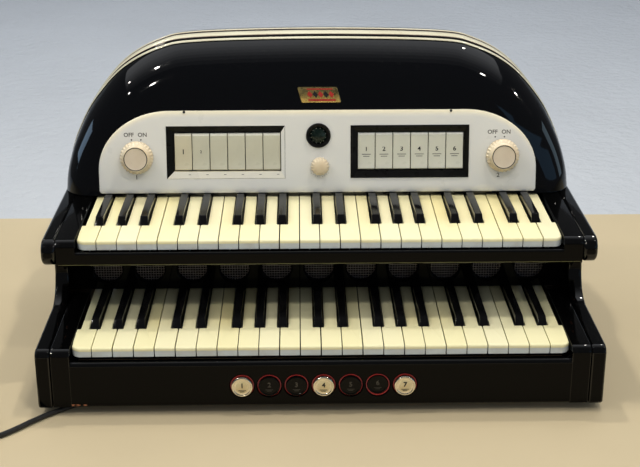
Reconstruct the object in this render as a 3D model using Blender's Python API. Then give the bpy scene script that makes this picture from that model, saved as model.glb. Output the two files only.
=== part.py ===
"""Table-top electronic reed organ with two 41-note manuals, built from separate pieces.

Lengths are written in millimetres and turned into metres when a mesh is made.
+X is the player's right, +Y runs away from the player, +Z is up.
The origin is on the table, under the middle of the case.
"""

import math

import bmesh
import bpy
from mathutils import Matrix, Vector

MM = 0.001
GAP = 0.3  # between pieces that touch

# Case
CASE_HALF_WIDTH = 321.5
BED_HALF_WIDTH = 304.5  # room between the side boards
RAIL_FACE_Y = -196.0
RAIL_BACK_Y = -180.0
RAIL_TOP = 64.5
LIP_DEPTH = 12.0  # height of the thin lip in front of the keys, which leaves them room to dip
FRONT_GAP = 0.9  # from the keys' fronts to the lip
CASE_BACK_Y = 196.7
BACK_Y = 200.0
FOOT_HEIGHT = 10.0
BOARD_FOOT = 8.4  # underside of the side boards
BASE_TOP = 22.0

# Manuals
WHITE_PITCH = 23.5
WHITE_COUNT = 24
KEY_GAP = 0.9
WHITE_HEIGHT = 11.3
HEAD_LENGTH = 50.9
BLACK_WIDTH = 11.0
BLACK_RISE = 9.0
LOWER_CAP = 104.0  # length of the black caps, which end just before the board or panel behind them
UPPER_CAP = 93.5
CAP_FALL = 3.0  # their tops drop this much to the rear
NOTCH_SIDE = 0.9  # room on each side of a black key
END_STEP = 4.7  # the outer keys' heads stand out this far past their tails
KEY_HALF_SPAN = WHITE_PITCH * WHITE_COUNT / 2
BLOCK_GAP = 0.6  # from the outer keys to the key blocks
CORNER_R = 11.0  # of the outer keys, in plan
LOWER_TOP = 80.0
UPPER_TOP = 178.0
LOWER_FRONT_Y = -188.0
UPPER_FRONT_Y = -109.0
PIVOT_BACK = 185.0  # from a key's front to the line it tips about
KEY_TAIL = 4.0  # past the pivot line
NOTE_NAMES = "F G A B C D E".split()
BLACK_SHIFT = {"F": -3.0, "G": 0.0, "A": 3.0, "C": -2.4, "D": 2.4}  # after that white key
LOOSE_LOWER = range(7, 11)  # F to B near the middle of the lower manual
LOOSE_UPPER = range(11, 14)  # C to E near the middle of the upper manual

# Upper deck
DECK_BOTTOM = 148.0
DECK_TOP = 180.0
CHEEK_FRONT_Y = -118.0
NOSE_Y = -114.0
NOSE_TOP = 165.0
SHELF_TOP = 154.0
SHELF_HALF = 304.5
GRILLE_Y = -30.0
GRILLE_HOLES = 11
GRILLE_PITCH = 51.8
GRILLE_HOLE_R = 18.1
GRILLE_CENTRE_Z = 109.6

# Hood
HOOD_WALL = 4.0
FACE_Y = 41.0  # foot of the sloping front
FACE_TILT = math.radians(8.5)
CREST_Z = 370.0
ARCH = [(320, 150), (320, DECK_TOP), (316, 211), (304, 247), (281, 289), (244, 332), (200, 357), (150, 366.5),
        (0, CREST_Z)]
ARCH_STEPS = 40
FILLET_SIDE = 34.0
FILLET_TOP = 72.0
FILLET_STEPS = 6
BACK_RINGS = [(160, 0.0), (176, 2.0), (188, 7.0), (196.7, 15.0)]  # y, inset
TRIM_Y = (96.7, 131.9)

# Front panel, in its own sloping plane
PANEL_HALF = 273.8
PANEL_LOW = 3.2
PANEL_HIGH = 107.0
PANEL_CORNER = (90.0, 75.0)
PANEL_THICK = 3.0
PANEL_ROLL = [(0.0, 0.5), (1.2, 1.5), (4.2, 2.6), (9.0, PANEL_THICK)]  # inset and height of its rolled edge
WINDOW_X = (41.0, 188.5)
WINDOW_H = (21.8, 87.8)
TAB_PITCH = 22.1
TAB_LOW = 32.0
TAB_HIGH = 78.2
TABS_FROM = {"left": -179.0, "right": 49.6}
KNOB_AT = {"left": (-225.5, 49.3), "right": (230.7, 49.3)}
TUNING_AT = (2.6, 37.1)
EYE_AT = (0.7, 75.5)
PLATE_H = 126.0

# Push buttons
BUTTON_PITCH = 30.7
BUTTON_X = 2.4
BUTTON_Z = 35.0
BUTTON_R = 12.2
BUTTON_HOLE_R = 13.6
RAISED_BUTTONS = (1, 4, 7)
PRESSED_BUTTON = 6

# Mains lead
CORD_R = 3.0
FLOOR_Z = 3.3  # height of the lead's middle where it lies on the table
ROUTE = [(-150, -112, 5), (-162, -112, 5), (-180, -114, 4.3), (-205, -121, FLOOR_Z), (-235, -138, FLOOR_Z),
         (-262, -160, FLOOR_Z), (-279, -175, FLOOR_Z), (-293, -186, FLOOR_Z), (-309, -199, FLOOR_Z),
         (-326, -216, FLOOR_Z), (-340, -232, FLOOR_Z), (-356, -247, FLOOR_Z), (-376, -257.5, FLOOR_Z),
         (-396, -262, FLOOR_Z), (-408.7, -262, FLOOR_Z)]
ROUTE_STEPS = 28
COIL_CENTRE = (-415.0, -222.0)
COIL_OUTER = 40.0  # radius of the outer turn's middle
COIL_STEP = 7.0  # from turn to turn
LAYER_STEP = 6.9
LAYERS = 4
LAYER_TURNS = 2
TURN_POINTS = 17
TAIL = [(-43.2, 14, 23.4), (-46, 28, 19.2), (-48, 41, 14.9), (-48, 47, 14.3), (-48, 53, 14.3)]  # from the coil's centre
PLUG_R = 14.0


def clear_scene():
    for old in list(bpy.data.objects):
        bpy.data.objects.remove(old, do_unlink=True)


def finish(name, colour, roughness=0.4, metallic=0.0):
    material = bpy.data.materials.get(name) or bpy.data.materials.new(name)
    material.use_nodes = True
    shader = material.node_tree.nodes["Principled BSDF"]
    shader.inputs["Base Color"].default_value = (*colour, 1.0)
    shader.inputs["Roughness"].default_value = roughness
    shader.inputs["Metallic"].default_value = metallic
    return material


LACQUER = ("black_lacquer", (0.012, 0.012, 0.014), 0.12)
IVORY = ("ivory_keys", (0.86, 0.80, 0.58), 0.3)
EBONY = ("black_keys", (0.015, 0.015, 0.017), 0.2)
PANEL = ("cream_panel", (0.75, 0.74, 0.68), 0.4)
BEIGE = ("beige_tabs", (0.70, 0.66, 0.50), 0.4)
BLACK_PLASTIC = ("black_plastic", (0.02, 0.02, 0.02), 0.35)
KNOB_CREAM = ("knob_cream", (0.74, 0.66, 0.46), 0.35)
FELT = ("red_felt", (0.35, 0.03, 0.02), 0.9)
WIRE = ("grille_wire", (0.25, 0.24, 0.22), 0.4, 0.9)
GILT = ("gilt", (0.75, 0.60, 0.25), 0.3, 0.9)
BUTTON_IVORY = ("button_ivory", (0.80, 0.70, 0.45), 0.3)
WOOD = ("plain_wood", (0.35, 0.24, 0.14), 0.6)
STEEL = ("zinc_steel", (0.55, 0.55, 0.56), 0.4, 0.9)
RUBBER = ("cord_rubber", (0.02, 0.02, 0.02), 0.6)
GLASS = ("eye_glass", (0.01, 0.02, 0.015), 0.1)
TRIM = ("trim_cream", (0.80, 0.74, 0.58), 0.3)


def as_object(name, bm, look, parent=None, at=(0, 0, 0), angle=30):
    """Turns a bmesh in millimetres into an object in metres, with its origin at `at`."""
    bmesh.ops.recalc_face_normals(bm, faces=bm.faces)
    bmesh.ops.scale(bm, vec=(MM, MM, MM), verts=bm.verts)
    mesh = bpy.data.meshes.new(name)
    bm.to_mesh(mesh)
    bm.free()
    mesh.shade_smooth()
    mesh.set_sharp_from_angle(angle=math.radians(angle))
    obj = bpy.data.objects.new(name, mesh)
    obj.location = Vector(at) * MM
    obj.parent = parent
    bpy.context.scene.collection.objects.link(obj)
    if look:
        mesh.materials.append(finish(*look))
    return obj


def prism(outline, axis, low, high, bm=None):
    """Extrudes a flat outline along an axis. The outline's two numbers are the other axes in X, Y, Z order."""
    bm = bm or bmesh.new()
    index = "XYZ".index(axis)

    def place(point, depth):
        full = list(point)
        full.insert(index, depth)
        return bm.verts.new(full)

    ends = [[place(p, d) for p in outline] for d in (low, high)]
    faces = [bm.faces.new(end) for end in ends]
    count = len(outline)
    for i in range(count):
        j = (i + 1) % count
        faces.append(bm.faces.new((ends[0][i], ends[0][j], ends[1][j], ends[1][i])))
    bmesh.ops.recalc_face_normals(bm, faces=faces)
    return bm


def box(x, y, z, bm=None):
    return prism([(x[0], y[0]), (x[1], y[0]), (x[1], y[1]), (x[0], y[1])], "Z", z[0], z[1], bm)


def rounded(points, radii, steps=5):
    """The outline with each corner turned into an arc of its own radius."""
    out = []
    count = len(points)
    for i, point in enumerate(points):
        here = Vector(point)
        before = Vector(points[i - 1]) - here
        after = Vector(points[(i + 1) % count]) - here
        radius = radii[i] if isinstance(radii, (list, tuple)) else radii
        if radius <= 0:
            out.append(tuple(here))
            continue
        half = before.angle(after) / 2
        reach = radius / math.tan(half)
        centre = here + (before.normalized() + after.normalized()).normalized() * (radius / math.sin(half))
        start = here + before.normalized() * reach - centre
        end = here + after.normalized() * reach - centre
        turn = math.atan2(start.x * end.y - start.y * end.x, start.dot(end))
        for k in range(steps + 1):
            a = turn * k / steps
            out.append((centre.x + start.x * math.cos(a) - start.y * math.sin(a),
                        centre.y + start.x * math.sin(a) + start.y * math.cos(a)))
    return out


def circle(cx, cy, radius, steps=24):
    turns = [2 * math.pi * k / steps for k in range(steps)]
    return [(cx + radius * math.cos(a), cy + radius * math.sin(a)) for a in turns]


def turned(profile, steps=32, lobes=0, depth=0.0, lobed=()):
    """Spins (radius, forward) points about the local -Y axis. Radii in `lobed` rows are scalloped."""
    bm = bmesh.new()
    rings = []
    for row, (radius, forward) in enumerate(profile):
        if radius == 0:
            rings.append([bm.verts.new((0, -forward, 0))])
            continue
        ring = []
        for k in range(steps):
            a = 2 * math.pi * k / steps
            r = radius - (depth * (0.5 - 0.5 * math.cos(lobes * a)) if row in lobed else 0)
            ring.append(bm.verts.new((r * math.cos(a), -forward, r * math.sin(a))))
        rings.append(ring)
    for one, two in zip(rings, rings[1:]):
        for k in range(steps):
            j = (k + 1) % steps
            if len(one) == 1:
                bm.faces.new((one[0], two[k], two[j]))
            elif len(two) == 1:
                bm.faces.new((one[k], two[0], one[j]))
            else:
                bm.faces.new((one[k], two[k], two[j], one[j]))
    for ring in (rings[0], rings[-1]):
        if len(ring) > 1:
            bm.faces.new(ring)
    return bm


def helper(name, bm, parent=None, at=(0, 0, 0)):
    obj = as_object(name, bm, None, parent, at)
    obj.hide_render = True
    obj.display_type = "WIRE"
    return obj


def boolean(obj, other, operation):
    modifier = obj.modifiers.new(f"{operation.lower()}_{other.name}", "BOOLEAN")
    modifier.operation = operation
    modifier.solver = "EXACT"
    modifier.object = other
    return modifier


def cut(obj, name, bm, parent=None):
    boolean(obj, helper(name, bm, parent), "DIFFERENCE")


def join(obj, name, bm, parent=None):
    boolean(obj, helper(name, bm, parent), "UNION")


def soften(obj, width, segments=2, angle=40):
    modifier = obj.modifiers.new("soft_edges", "BEVEL")
    modifier.width = width * MM
    modifier.segments = segments
    modifier.limit_method = "ANGLE"
    modifier.angle_limit = math.radians(angle)
    modifier.use_clamp_overlap = True
    return modifier


def mirrored(side):
    return -1 if side == "left" else 1


def between(a, b):
    return (min(a, b), max(a, b))


# Case

def base_board():
    obj = as_object("base_board", box((-BED_HALF_WIDTH + GAP, BED_HALF_WIDTH - GAP), (-176.5, CASE_BACK_Y),
                                      (FOOT_HEIGHT, BASE_TOP)), WOOD)
    feet = [(x, y) for x in (-285, 285) for y in (-115, 160)]
    for number, (x, y) in enumerate(feet, 1):
        foot = prism(circle(x, y, 15, 16), "Z", 0, FOOT_HEIGHT + 1)
        rim = [edge for edge in foot.edges if all(v.co.z == 0 for v in edge.verts)]
        bmesh.ops.bevel(foot, geom=rim, offset=1.5, segments=1, affect="EDGES")
        join(obj, f"foot_shape_{number}", foot)


def side_board(side):
    """Board with the hollow sweep from the lower key block up to the column under the upper deck."""
    sign = mirrored(side)
    sweep = 38.0
    column_y = -41.0
    corners = [(RAIL_FACE_Y, BOARD_FOOT), (RAIL_FACE_Y, LOWER_TOP), (column_y, LOWER_TOP),
               (column_y, DECK_BOTTOM - GAP), (CASE_BACK_Y, DECK_BOTTOM - GAP), (CASE_BACK_Y, BOARD_FOOT)]
    outline = rounded(corners, [3, 10, sweep, 0, 0, 0], 6)
    x = between(sign * BED_HALF_WIDTH, sign * CASE_HALF_WIDTH)
    obj = as_object(f"side_board_{side}", prism(outline, "X", *x), LACQUER)
    soften(obj, 2.2, 1)


def lip_corner(side, front_y, low, high):
    """Hollow corner between the lip and a key block, which follows the outer key's rounding."""
    edge_x, edge_y = KEY_HALF_SPAN + BLOCK_GAP, front_y - FRONT_GAP
    radius = CORNER_R + FRONT_GAP
    arc = []
    for k in range(7):
        a = math.pi / 2 * k / 6
        arc.append((edge_x - radius + radius * math.cos(a), edge_y + radius - radius * math.sin(a)))
    outline = [(edge_x + 2, arc[0][1])] + arc + [(arc[-1][0], edge_y - 2), (edge_x + 2, edge_y - 2)]
    sign = mirrored(side)
    return prism([(sign * x, y) for x, y in outline], "Z", low, high)


def lower_front_rail():
    """Front rail with the two key blocks at its ends and a thin lip before the keys."""
    half = BED_HALF_WIDTH - GAP
    lip_y, step_z = LOWER_FRONT_Y - FRONT_GAP, RAIL_TOP - LIP_DEPTH
    corners = [(RAIL_FACE_Y, FOOT_HEIGHT), (RAIL_FACE_Y, RAIL_TOP), (lip_y, RAIL_TOP), (lip_y, step_z),
               (RAIL_BACK_Y, step_z), (RAIL_BACK_Y, FOOT_HEIGHT)]
    section = rounded(corners, [2, 5, 1, 1, 0.5, 0])
    obj = as_object("lower_front_rail", prism(section, "X", -half, half), LACQUER)
    block = [(RAIL_FACE_Y, BASE_TOP + GAP), (RAIL_FACE_Y, LOWER_TOP), (GRILLE_Y - GAP, LOWER_TOP),
             (GRILLE_Y - GAP, BASE_TOP + GAP)]
    for side in ("left", "right"):
        sign = mirrored(side)
        x = between(sign * (KEY_HALF_SPAN + BLOCK_GAP), sign * half)
        join(obj, f"lower_block_{side}", prism(rounded(block, [0, 9, 1, 0]), "X", *x))
        join(obj, f"lower_corner_{side}", lip_corner(side, LOWER_FRONT_Y, step_z + 2, RAIL_TOP - 0.5))
    for number in range(1, 8):
        hole = prism(circle(button_x(number), BUTTON_Z, BUTTON_HOLE_R, 16), "Y", RAIL_FACE_Y - 5, -170)
        cut(obj, f"button_hole_{number}", hole)


def button_x(number):
    return BUTTON_X + (number - 4) * BUTTON_PITCH


def button_felt():
    """Felt strip behind the rail, with a collar standing in each button hole."""
    obj = as_object("button_felt", box((-125, 130), (-179.7, -177.2), (16, 54)), FELT)
    for number in range(1, 8):
        x = button_x(number)
        join(obj, f"felt_collar_{number}", prism(circle(x, BUTTON_Z, BUTTON_HOLE_R - GAP, 16), "Y", -195.4, -178))
        cut(obj, f"felt_bore_{number}", prism(circle(x, BUTTON_Z, BUTTON_R + GAP, 16), "Y", -200, -170))


def push_button(number):
    """Cap with a dished face and a rim; the plunger behind it runs through the felt."""
    raised = number in RAISED_BUTTONS
    front = (3.9 if raised else 2.4) - (3.2 if number == PRESSED_BUTTON else 0)
    profile = [(5, -20), (5, -13), (BUTTON_R, -13), (BUTTON_R, front - 1.4), (BUTTON_R - 1.2, front),
               (BUTTON_R - 3.0, front - 1.0), (0, front - 1.3)]
    look = BUTTON_IVORY if raised else BLACK_PLASTIC
    as_object(f"push_button_{number}", turned(profile, 16), look, at=(button_x(number), RAIL_FACE_Y, BUTTON_Z))


def grille_board():
    obj = as_object("grille_board", box((-BED_HALF_WIDTH + GAP, BED_HALF_WIDTH - GAP), (GRILLE_Y, GRILLE_Y + 8),
                                        (LOWER_TOP + 4, DECK_BOTTOM - GAP)), LACQUER)
    for number in range(GRILLE_HOLES):
        x = (number - GRILLE_HOLES // 2) * GRILLE_PITCH
        hole = prism(circle(x, GRILLE_CENTRE_Z, GRILLE_HOLE_R, 18), "Y", GRILLE_Y - 5, GRILLE_Y + 15)
        cut(obj, f"grille_hole_{number + 1}", hole)


def grille_mesh():
    y = GRILLE_Y + 8 + GAP
    as_object("grille_mesh", box((-290, 290), (y, y + 1.2), (86, 140)), WIRE)


# Upper deck

def upper_shelf():
    """Floor of the upper manual, with its nose under the keys and a key block at each end."""
    lip_y = UPPER_FRONT_Y - FRONT_GAP
    section = rounded([(NOSE_Y, DECK_BOTTOM + 1), (NOSE_Y, NOSE_TOP), (lip_y, NOSE_TOP), (lip_y, SHELF_TOP),
                       (CASE_BACK_Y, SHELF_TOP), (CASE_BACK_Y, DECK_BOTTOM), (NOSE_Y + 5, DECK_BOTTOM)],
                      [1.5, 2.6, 1, 1, 0, 0, 0])
    obj = as_object("upper_shelf", prism(section, "X", -SHELF_HALF, SHELF_HALF), LACQUER)
    block_low, block_top, block_back = DECK_BOTTOM + 2, DECK_TOP - 0.5, FACE_Y + 60
    block = [(NOSE_Y, block_low), (NOSE_Y, block_top), (block_back, block_top), (block_back, block_low)]
    for side in ("left", "right"):
        sign = mirrored(side)
        x = between(sign * (KEY_HALF_SPAN + BLOCK_GAP), sign * SHELF_HALF)
        join(obj, f"upper_block_{side}", prism(rounded(block, [3, 9, 1, 0]), "X", *x))
        join(obj, f"upper_corner_{side}", lip_corner(side, UPPER_FRONT_Y, SHELF_TOP - 1, NOSE_TOP - 0.5))


def upper_cheek(side):
    sign = mirrored(side)
    corners = [(CHEEK_FRONT_Y, DECK_BOTTOM), (CHEEK_FRONT_Y, DECK_TOP), (CASE_BACK_Y, DECK_TOP),
               (CASE_BACK_Y, DECK_BOTTOM)]
    outline = rounded(corners, [15, 15.5, 0, 0], 6)
    x = between(sign * (SHELF_HALF + GAP), sign * CASE_HALF_WIDTH)
    obj = as_object(f"upper_cheek_{side}", prism(outline, "X", *x), LACQUER)
    soften(obj, 3.0)


# Manuals

def key_layout():
    """(kind, name, centre x, left step, right step) of every key, from F on the left to A on the right."""
    keys = []
    for i in range(WHITE_COUNT):
        note = NOTE_NAMES[i % 7]
        left = -KEY_HALF_SPAN + i * WHITE_PITCH
        before = NOTE_NAMES[(i - 1) % 7]
        step_left = END_STEP if i == 0 else 0.0
        step_right = END_STEP if i == WHITE_COUNT - 1 else 0.0
        if i > 0 and before in BLACK_SHIFT:
            step_left = BLACK_WIDTH / 2 + BLACK_SHIFT[before] + NOTCH_SIDE
        if i < WHITE_COUNT - 1 and note in BLACK_SHIFT:
            step_right = BLACK_WIDTH / 2 - BLACK_SHIFT[note] + NOTCH_SIDE
            keys.append(("black", i, note, left + WHITE_PITCH + BLACK_SHIFT[note], 0.0, 0.0))
        keys.append(("white", i, note, left + WHITE_PITCH / 2, step_left, step_right))
    return keys


def white_key(step_left, step_right, outer=0):
    """A white key whose local origin is on the pivot line, at the underside. The head is full width.
    An outer key, -1 or 1, has its free front corner rounded."""
    half = WHITE_PITCH / 2 - KEY_GAP / 2
    head_y = -PIVOT_BACK + HEAD_LENGTH
    tail_left = -half + max(step_left - KEY_GAP / 2, 0)
    tail_right = half - max(step_right - KEY_GAP / 2, 0)
    rounding = [(half - CORNER_R * (1 - math.sin(a)), CORNER_R * (1 - math.cos(a)) - PIVOT_BACK)
                for a in (math.pi / 2 * k / 5 for k in range(6))]
    outline = [(-half, -PIVOT_BACK)] if outer >= 0 else [(-x, y) for x, y in reversed(rounding)]
    outline += [(half, -PIVOT_BACK)] if outer <= 0 else rounding
    if step_right:
        outline += [(half, head_y), (tail_right, head_y)]
    outline += [(tail_right, KEY_TAIL), (tail_left, KEY_TAIL)]
    if step_left:
        outline += [(tail_left, head_y), (-half, head_y)]
    bm = prism(outline, "Z", 0, WHITE_HEIGHT)
    lip = [e for e in bm.edges if all(v.co.y < 1 - PIVOT_BACK and v.co.z > WHITE_HEIGHT - 1 for v in e.verts)]
    bmesh.ops.bevel(bm, geom=lip, offset=2.6, segments=3, profile=0.5, affect="EDGES")
    return bm


def black_key(cap):
    """A black key: cap with a sloping nose, and the lever behind it below the level of the whites."""
    nose = -PIVOT_BACK + HEAD_LENGTH + NOTCH_SIDE
    cap_top = WHITE_HEIGHT + BLACK_RISE
    side_view = [(nose, 0), (nose, WHITE_HEIGHT - 0.5), (nose + 6.5, cap_top - 0.8), (nose + 9, cap_top),
                 (nose + cap - 2, cap_top - CAP_FALL), (nose + cap, cap_top - CAP_FALL - 1.5), (nose + cap, 7.5),
                 (KEY_TAIL, 7.5), (KEY_TAIL, 0)]
    half = BLACK_WIDTH / 2
    bm = prism(side_view, "X", -half, half)
    for vert in bm.verts:
        if vert.co.z > WHITE_HEIGHT:
            vert.co.x -= math.copysign(0.9, vert.co.x)
    return bm


def key_frame(prefix, front_y, top_z, floor_z, cap, loose):
    """The keys of one manual: those in `loose` tip on their own, the rest are one piece with the frame."""
    pivot_y = front_y + PIVOT_BACK
    under_z = top_z - WHITE_HEIGHT
    half = KEY_HALF_SPAN - END_STEP
    guide_z, plate_z = under_z - 11.5, floor_z + 2.2
    section = [(front_y + 20, floor_z), (front_y + 20, guide_z), (front_y + 32, guide_z),
               (front_y + 32, plate_z), (pivot_y - 3, plate_z), (pivot_y - 3, under_z - GAP),
               (pivot_y + 3, under_z - GAP), (pivot_y + 3, floor_z)]
    frame = as_object(f"{prefix}_key_frame", prism(section, "X", -half, half), IVORY)
    fused = bpy.data.collections.new(f"{prefix}_fixed_keys")
    bpy.context.scene.collection.children.link(fused)
    fused.hide_render = True

    def fuse(label, bm):
        piece = helper(f"{prefix}_{label}", bm)
        bpy.context.scene.collection.objects.unlink(piece)
        fused.objects.link(piece)

    first, last = loose[0], loose[-1]
    loose_x = (first * WHITE_PITCH - KEY_HALF_SPAN - 2, (last + 1) * WHITE_PITCH - KEY_HALF_SPAN + 2)
    fuse("seat_left", box((-half, loose_x[0]), (pivot_y - 2, pivot_y + 2), (under_z - 2, under_z + 1)))
    fuse("seat_right", box((loose_x[1], half), (pivot_y - 2, pivot_y + 2), (under_z - 2, under_z + 1)))
    for kind, i, note, cx, step_left, step_right in key_layout():
        black = kind == "black"
        at = Vector((cx, pivot_y, under_z))
        outer = -1 if i == 0 else int(i == WHITE_COUNT - 1)
        bm = black_key(cap) if black else white_key(step_left, step_right, outer)
        if first <= i <= last and not (black and i == last):
            name = f"{prefix}_key_{note}" + ("_sharp" if black else "")
            as_object(name, bm, EBONY if black else IVORY, at=at)
        else:
            bmesh.ops.translate(bm, vec=at, verts=bm.verts)
            fuse(f"{kind}_{i + 1}", bm)
    union = frame.modifiers.new("fixed_keys", "BOOLEAN")
    union.operation = "UNION"
    union.solver = "EXACT"
    union.operand_type = "COLLECTION"
    union.collection = fused


# Hood

def spline(points, steps):
    """Even samples of a smooth curve through the given points."""
    fine = []
    ends = [2 * Vector(points[0]) - Vector(points[1])] + [Vector(p) for p in points]
    ends.append(2 * Vector(points[-1]) - Vector(points[-2]))
    for a, b, c, d in zip(ends, ends[1:], ends[2:], ends[3:]):
        for k in range(24):
            t = k / 24
            fine.append(0.5 * (2 * b + (c - a) * t + (2 * a - 5 * b + 4 * c - d) * t ** 2
                               + (3 * b - a - 3 * c + d) * t ** 3))
    fine.append(Vector(points[-1]))
    along = [0.0]
    for a, b in zip(fine, fine[1:]):
        along.append(along[-1] + (b - a).length)
    out = []
    j = 0
    for k in range(steps + 1):
        want = along[-1] * k / steps
        while j < len(fine) - 2 and along[j + 1] < want:
            j += 1
        share = (want - along[j]) / max(along[j + 1] - along[j], 1e-9)
        out.append(fine[j].lerp(fine[j + 1], share))
    return out


def arch():
    """(point, outward normal) along the hood's widest section, left foot to right foot, as X and Z."""
    half = spline(ARCH + [(-ARCH[-2][0], ARCH[-2][1])], 4 * ARCH_STEPS)
    half = [p for p in half if p.x > 0]
    half = [half[round(k * (len(half) - 1) / (ARCH_STEPS // 2 - 0.5))] for k in range(ARCH_STEPS // 2)]
    points = [Vector((-p.x, p.y)) for p in half] + [p.copy() for p in reversed(half)]
    out = []
    for i, p in enumerate(points):
        a, b = points[max(i - 1, 0)], points[min(i + 1, len(points) - 1)]
        along = (b - a).normalized()
        out.append((p, Vector((-along.y, along.x))))
    return out


def fillet_radius(normal):
    rise = max(normal.y, 0.0)
    return FILLET_SIDE + (FILLET_TOP - FILLET_SIDE) * rise * rise * (3 - 2 * rise)


FACE_NORMAL = Vector((0, -math.cos(FACE_TILT), math.sin(FACE_TILT)))


def hood_centre(point, normal, radius):
    """Centre of the rounding between the sloping face and the arch at this place."""
    x = point.x - normal.x * radius
    z = point.y - normal.y * radius
    y = FACE_Y + (z - DECK_TOP) * math.tan(FACE_TILT) + radius / math.cos(FACE_TILT)
    return Vector((x, y, z))


def hood_turn(normal, share):
    """Direction from the rounding's centre, from the face (0) to the arch (1)."""
    out = Vector((normal.x, 0, normal.y))
    angle = FACE_NORMAL.angle(out)
    return (math.sin((1 - share) * angle) * FACE_NORMAL + math.sin(share * angle) * out) / math.sin(angle)


def hood_skin(inset):
    """Rows of points of the hood's surface, from the face's rim to the back, this far inside."""
    rows = [[] for _ in range(FILLET_STEPS + 1 + len(BACK_RINGS))]
    for point, normal in arch():
        radius = fillet_radius(normal)
        centre = hood_centre(point, normal, radius)
        for k in range(FILLET_STEPS + 1):
            rows[k].append(centre + hood_turn(normal, k / FILLET_STEPS) * (radius - inset))
        for k, (y, shrink) in enumerate(BACK_RINGS):
            p = point - normal * (inset + shrink)
            rows[FILLET_STEPS + 1 + k].append(Vector((p.x, y, p.y)))
    return rows


def hood_shell():
    bm = bmesh.new()
    skins = [[[bm.verts.new(p) for p in row] for row in hood_skin(inset)] for inset in (0, HOOD_WALL)]
    for rows in skins:
        bm.faces.new(rows[0])
        for one, two in zip(rows, rows[1:]):
            for k in range(len(one) - 1):
                bm.faces.new((one[k], one[k + 1], two[k + 1], two[k]))
    outer, inner = skins
    for k in range(len(outer[0]) - 1):
        bm.faces.new((outer[-1][k], outer[-1][k + 1], inner[-1][k + 1], inner[-1][k]))
    for one, two in zip(range(len(outer)), range(1, len(outer))):
        for k in (0, -1):
            bm.faces.new((outer[one][k], outer[two][k], inner[two][k], inner[one][k]))
    bm.faces.new((outer[0][0], outer[0][-1], inner[0][-1], inner[0][0]))
    obj = as_object("hood_shell", bm, LACQUER, angle=40)
    cut(obj, "hood_base_cut", box((-400, 400), (-50, 300), (100, DECK_TOP + GAP)))
    cut(obj, "hood_face_opening", prism(panel_outline(14), "Y", -20, 30), face_plane())


def hood_trim():
    """Arched moulding over the crest: a thin rib, a wide double rib and a thin rib on one strip."""
    low, high = TRIM_Y
    width = high - low
    seat, strip, rib, crown = 0.9, 1.5, 2.7, 3.2  # heights over the hood
    marks = [(0.0, strip), (0.03, rib), (0.11, rib), (0.14, strip), (0.22, strip), (0.26, crown), (0.74, crown),
             (0.78, strip), (0.86, strip), (0.89, rib), (0.97, rib), (1.0, strip)]
    bm = bmesh.new()
    sections = []
    for point, normal in arch():
        radius = fillet_radius(normal)
        centre = hood_centre(point, normal, radius)
        upper, under = [], []
        for share, height in marks:
            y = low + width * share
            base = centre + hood_turn(normal, 1.0) * radius
            if y < base.y:
                a, b = 0.0, 1.0
                for _ in range(30):
                    middle = (a + b) / 2
                    if (centre + hood_turn(normal, middle) * radius).y < y:
                        a = middle
                    else:
                        b = middle
                way = hood_turn(normal, a)
                spot = centre + way * radius
            else:
                way = Vector((normal.x, 0, normal.y))
                spot = Vector((point.x, y, point.y))
            upper.append(spot + way * height)
            under.append(spot + way * seat)
        sections.append([bm.verts.new(p) for p in upper + [under[-1], under[6], under[5], under[0]]])
    for one, two in zip(sections, sections[1:]):
        for k in range(len(one)):
            j = (k + 1) % len(one)
            bm.faces.new((one[k], one[j], two[j], two[k]))
    bm.faces.new(sections[0])
    bm.faces.new(sections[-1])
    obj = as_object("hood_trim", bm, TRIM)
    cut(obj, "trim_base_cut", box((-400, 400), (-50, 300), (100, DECK_TOP + 2 * GAP)))


def rear_cover():
    """Flat back with its arched top and rows of vent slots."""
    inset = BACK_RINGS[-1][1] + 2.5
    points = [(p - n * inset) for p, n in arch()]
    top = [(p.x, p.y) for p in points if p.y > DECK_TOP + 10]
    foot = FOOT_HEIGHT + 3
    outline = [(-300, foot)] + [(-300, DECK_TOP)] + top + [(300, DECK_TOP), (300, foot)]
    obj = as_object("rear_cover", prism(outline, "Y", CASE_BACK_Y + GAP, BACK_Y), LACQUER)
    slots = bmesh.new()
    for z in (90, 255):
        for k in range(13):
            x = (k - 6) * 26
            box((x - 3, x + 3), (CASE_BACK_Y - 5, BACK_Y + 5), (z, z + 26), slots)
    cut(obj, "vent_slots", slots)


# Front panel

def face_plane():
    """Empty on the hood's sloping front: X across, Z up the slope, -Y out towards the player."""
    found = bpy.data.objects.get("face_plane")
    if found:
        return found
    empty = bpy.data.objects.new("face_plane", None)
    empty.location = Vector((0, FACE_Y, DECK_TOP)) * MM
    empty.rotation_euler = (-FACE_TILT, 0, 0)
    bpy.context.scene.collection.objects.link(empty)
    return empty


def panel_outline(inset=0.0):
    """Straight foot, upright sides and elliptical shoulders."""
    wide, tall = PANEL_CORNER
    low, high, half = PANEL_LOW + inset, PANEL_HIGH - inset, PANEL_HALF - inset
    shoulder = []
    for k in range(13):
        a = math.pi / 2 * k / 12
        shoulder.append((PANEL_HALF - wide + (wide - inset) * math.cos(a),
                         PANEL_HIGH - tall + (tall - inset) * math.sin(a)))
    foot = [(half - 4, low), (half - 1.2, low + 1.2), (half, low + 4)]
    right = foot + shoulder
    return right + [(-x, h) for x, h in reversed(right)]


def rolled_panel():
    bm = bmesh.new()
    rings = [[bm.verts.new((x, -GAP - height, h)) for x, h in panel_outline(inset)]
             for inset, height in [(0.0, 0.0)] + PANEL_ROLL]
    for one, two in zip(rings, rings[1:]):
        for k in range(len(one)):
            j = (k + 1) % len(one)
            bm.faces.new((one[k], one[j], two[j], two[k]))
    bm.faces.new(rings[0])
    bm.faces.new(rings[-1])
    return bm


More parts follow.
